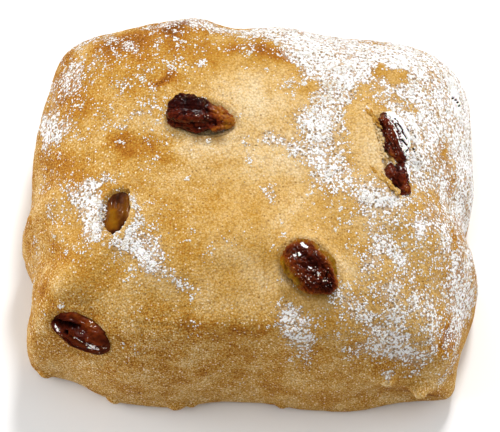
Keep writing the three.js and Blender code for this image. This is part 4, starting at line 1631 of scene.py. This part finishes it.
@dataclass
class TornCrumb:
    """Ragged flaps of crust and bits of crumb that stand up where the dough tore by a raisin."""

    form: DoughForm
    middle: np.ndarray
    rows: tuple[FlakeRow, ...] = (
        # the golden flap at the back of the right raisins, and the one along the lower of them
        FlakeRow((21.6, 6.8), (23.2, 4.0), 7, 0.9, 0.4, 0.25, 20, 0.55, 0.0, 1.15),
        FlakeRow((21.8, -4.4), (25.2, -8.4), 8, 0.8, 0.4, 0.3, 20, 0.5, 0.0, 0.95),
        FlakeRow((23.4, -6.4), (26.3, -9.3), 9, 0.85, 0.4, 0.16, 14, 0.42, 0.0, 1.25),
        # pale crumb between them, with browned bits
        FlakeRow((23.3, 3.6), (24.4, -2.6), 60, 0.36, 0.8, 0.4, 90, 0.14, 0.1, 0.75),
        FlakeRow((23.1, 3.0), (24.0, -2.6), 12, 0.22, 0.8, 0.5, 90, 0.45, 0.0, 0.6),
        FlakeRow((24.6, -7.6), (26.9, -10.0), 12, 0.46, 0.6, 0.2, 50, 0.34, 0.25, 1.3),
        FlakeRow((24.4, -8.4), (26.6, -10.3), 9, 0.26, 0.5, 0.3, 90, 0.6, 0.0, 0.6),
        # the rim of the hole over the left raisin
        FlakeRow((-26.8, -11.4), (-27.6, -17.0), 18, 0.2, 0.7, 0.25, 90, 0.1, 0.7, 0.9),
        # the small peak of dough by the centre raisin
        FlakeRow((8.4, -18.6), (10.4, -18.0), 10, 0.42, 0.6, 0.4, 90, 0.3, 0.1, 0.5),
    )
    thickness: float = 0.4  # of a flap, as a share of its half length, at most 0.35 mm
    thickest: float = 0.35
    raggedness: float = 0.4
    coarse: float = 1.2

    def build(self, material: bpy.types.Material) -> bpy.types.Object:
        """Models the torn pieces as one mesh.

        Args:
            material: the crust's finish.

        Returns:
            The torn pieces as one piece.
        """
        random = np.random.default_rng(SEED + 1)
        points, triangles, bakes, flours, before = [], [], [], [], 0
        for row in self.rows:
            ball, faces = ball_pattern(4 if row.size > 0.8 else 2)
            for step in range(row.count):
                share = (step + random.random()) / row.count
                place = np.array(row.a) + (np.array(row.b) - row.a) * share
                place = place + row.spread * random.standard_normal(2)
                points.append(self.flake(row, ball, place, random))
                triangles.append(faces + before)
                bakes.append(np.full(len(ball), row.bake + 0.08 * random.standard_normal()))
                flours.append(np.full(len(ball), row.flour))
                before += len(ball)
        places = (np.concatenate(points) - self.middle) * MM
        piece = mesh_piece("torn_crumb", places, np.concatenate(triangles))
        paint(piece, "bake", np.clip(np.concatenate(bakes), 0, 1))
        paint(piece, "flour", np.concatenate(flours))
        for name, value in (("syrup", 0.0), ("slit", 0.0), ("coarse", self.coarse)):
            paint(piece, name, np.full(len(places), value))
        finish_piece(piece, material)
        return piece

    def flake(
        self, row: FlakeRow, ball: np.ndarray, place: np.ndarray, random: np.random.Generator
    ) -> np.ndarray:
        """One ragged piece.

        Args:
            row: its row's sizes.
            ball: the points of a unit ball.
            place: its place in plan, mm.
            random: the seeded source of chance.

        Returns:
            Its points, in mm on the dough.
        """
        heading = math.degrees(math.atan2(row.b[1] - row.a[1], row.b[0] - row.a[0]))
        heading += row.turned * random.standard_normal()
        middle, axes = self.form.surface_frame(place[0], place[1], heading, row.lift)
        size = row.size * (0.6 + 0.8 * random.random())
        torn = ball * (1 + self.raggedness * noise(ball, 0.8, 2, int(random.integers(1000))))[:, None]
        thick = min(self.thickest, max(size * self.thickness, size * row.breadth * 0.6))
        shape = torn * [size, size * row.breadth * (0.7 + 0.6 * random.random()), thick]
        tilt = 0.45 * random.standard_normal()
        c, s = math.cos(tilt), math.sin(tilt)
        turned = np.array([[1, 0, 0], [0, c, s], [0, -s, c]])
        return (shape @ turned) @ axes + middle


# ---------------- loose flour


@dataclass
class LooseFlour:
    """Grains of flour that stand on the crust in small clumps, thickest where it is dusted."""

    finish: FlourFinish = FlourFinish()
    clumps: int = 1500
    in_clump: int = 6
    clump_reach: float = 0.32
    smallest: float = 0.09
    largest: float = 0.26
    flatness: float = 0.6

    def build(self, crust: bpy.types.Object) -> bpy.types.Object:
        """Scatters the grains over the crust as one mesh.

        Args:
            crust: the finished crust, with its painted flour.

        Returns:
            The grains as one piece.
        """
        random = np.random.default_rng(SEED)
        ball, faces = ball_pattern(1)
        place, out = self.places(crust, random)
        count = len(place)
        size = self.smallest + (self.largest - self.smallest) * random.random(count) ** 2.0
        shape = 1 + 0.2 * random.standard_normal((count, len(ball), 1))
        scaled = ball[None] * shape * [1, 1, self.flatness] * size[:, None, None]
        grains = np.einsum("nvi,nij->nvj", scaled, self.turns(out, random)) + place[:, None]
        triangles = (faces[None] + len(ball) * np.arange(count)[:, None, None]).reshape(-1, 3)
        piece = mesh_piece("flour_grains", grains.reshape(-1, 3) * MM, triangles)
        finish_piece(piece, self.finish.material())
        return piece

    def places(self, crust: bpy.types.Object, random: np.random.Generator) -> tuple[np.ndarray, np.ndarray]:
        """Draws places on the crust, in clumps.

        Args:
            crust: the finished crust.
            random: the seeded source of chance.

        Returns:
            The places, in mm, and the crust's normals there.
        """
        points, normals = points_of(crust) / MM, normals_of(crust)
        flour = np.zeros(len(points), np.float32)
        crust.data.attributes["flour"].data.foreach_get("value", flour)
        weight = flour**1.3 * smooth_step(normals[:, 2], -0.1, 0.3)
        centres = random.choice(len(points), self.clumps, p=weight / weight.sum())
        tree = KDTree(len(points))
        for index, point in enumerate(points):
            tree.insert(point, index)
        tree.balance()
        grains = np.maximum(random.poisson(self.in_clump, self.clumps), 1)
        wanted = points[np.repeat(centres, grains)]
        wanted = wanted + random.normal(0, self.clump_reach, wanted.shape)
        nearest = np.array([tree.find(place)[1] for place in wanted])
        off = wanted - points[nearest]
        off -= normals[nearest] * np.sum(off * normals[nearest], axis=1)[:, None]
        place = points[nearest] + off
        kept = place[:, 2] > 0.5
        return place[kept], normals[nearest][kept]

    def turns(self, out: np.ndarray, random: np.random.Generator) -> np.ndarray:
        """Lays each grain with its flat side on the crust, turned by chance about it.

        Args:
            out: the crust's normals at the grains.
            random: the seeded source of chance.

        Returns:
            Each grain's three axes.
        """
        chance = random.standard_normal(out.shape)
        first = np.cross(out, chance)
        first /= np.linalg.norm(first, axis=1)[:, None]
        return np.stack([first, np.cross(out, first), out], 1)


# ---------------- studio


@dataclass
class Studio:
    """A pale floor, soft light from above and behind, and the camera."""

    finish: FloorFinish = FloorFinish()
    target: tuple[float, float, float] = (0.1 * MM, -2.076 * MM, 15 * MM)
    elevation: float = 66.0
    distance: float = 450 * MM
    frame_width: float = 0.1951 * 500 * MM  # what the frame's width spans at the target
    sensor: float = 36.0

    def build(self) -> None:
        """Sets up the floor, the lights and the camera."""
        self.floor()
        self.light("key", (0.10, 0.34, 0.55), 0.1, 2.8)
        self.light("overhead", (0.0, -0.05, 0.8), 0.6, 1.0, in_gloss=False)
        self.light("left fill", (-0.6, 0.0, 0.25), 0.5, 3.2, in_gloss=False)
        self.light("right fill", (0.65, 0.05, 0.2), 0.5, 2.4, in_gloss=False)
        world = bpy.data.worlds.new("studio")
        world.use_nodes = True
        world.node_tree.nodes["Background"].inputs["Color"].default_value = (1, 1, 1, 1)
        world.node_tree.nodes["Background"].inputs["Strength"].default_value = 0.3
        world.cycles_visibility.glossy = False
        bpy.context.scene.world = world
        bpy.context.scene.view_settings.view_transform = "Standard"
        self.camera()

    def floor(self) -> None:
        """Adds the floor at the sole's level."""
        bpy.ops.object.select_all(action="DESELECT")
        bpy.ops.mesh.primitive_plane_add(size=6.0)
        floor = bpy.context.active_object
        floor.name = "floor"
        floor.data.materials.append(self.finish.material())
        floor.visible_glossy = False

    def light(
        self, name: str, place: tuple[float, float, float], size: float, power: float, in_gloss: bool = True
    ) -> None:
        """Adds a square soft light that faces the bun.

        Args:
            name: the light's name.
            place: where it stands, metres.
            size: its side, metres.
            power: its power, watts.
            in_gloss: whether glossy skins mirror it.
        """
        lamp = bpy.data.lights.new(name, "AREA")
        lamp.size = size
        lamp.energy = power
        holder = bpy.data.objects.new(name, lamp)
        holder.location = place
        holder.visible_glossy = in_gloss
        holder.rotation_euler = (Vector(self.target) - Vector(place)).to_track_quat("-Z", "Y").to_euler()
        bpy.context.scene.collection.objects.link(holder)

    def camera(self) -> None:
        """Adds the camera at the photograph's viewing angle."""
        lens = bpy.data.cameras.new("camera")
        lens.sensor_width = self.sensor
        lens.lens = self.sensor * self.distance / self.frame_width
        lens.clip_end = 10.0
        camera = bpy.data.objects.new("camera", lens)
        angle = math.radians(self.elevation)
        back = Vector((0, -math.cos(angle), math.sin(angle)))
        camera.location = Vector(self.target) + back * self.distance
        camera.rotation_euler = (math.pi / 2 - angle, 0, 0)
        bpy.context.scene.collection.objects.link(camera)
        bpy.context.scene.camera = camera


def main() -> None:
    """Builds the bun and its studio."""
    logging.basicConfig(level=logging.INFO, format="%(name)s: %(message)s")
    form = DoughForm()
    crust = Crust(form, RAISINS, MOUTHS)
    crust_material = CrustFinish().material()
    crust_piece = crust.build(crust_material)
    TornCrumb(form, crust.middle()).build(crust_material)
    skin = RaisinSkin(form, crust.middle())
    materials = {slot: finish.material() for slot, finish in RAISIN_FINISHES.items()}
    for raisin in RAISINS:
        skin.build(raisin, materials[raisin.slot])
    LooseFlour().build(crust_piece)
    Studio().build()


if __name__ == "__main__":
    main()
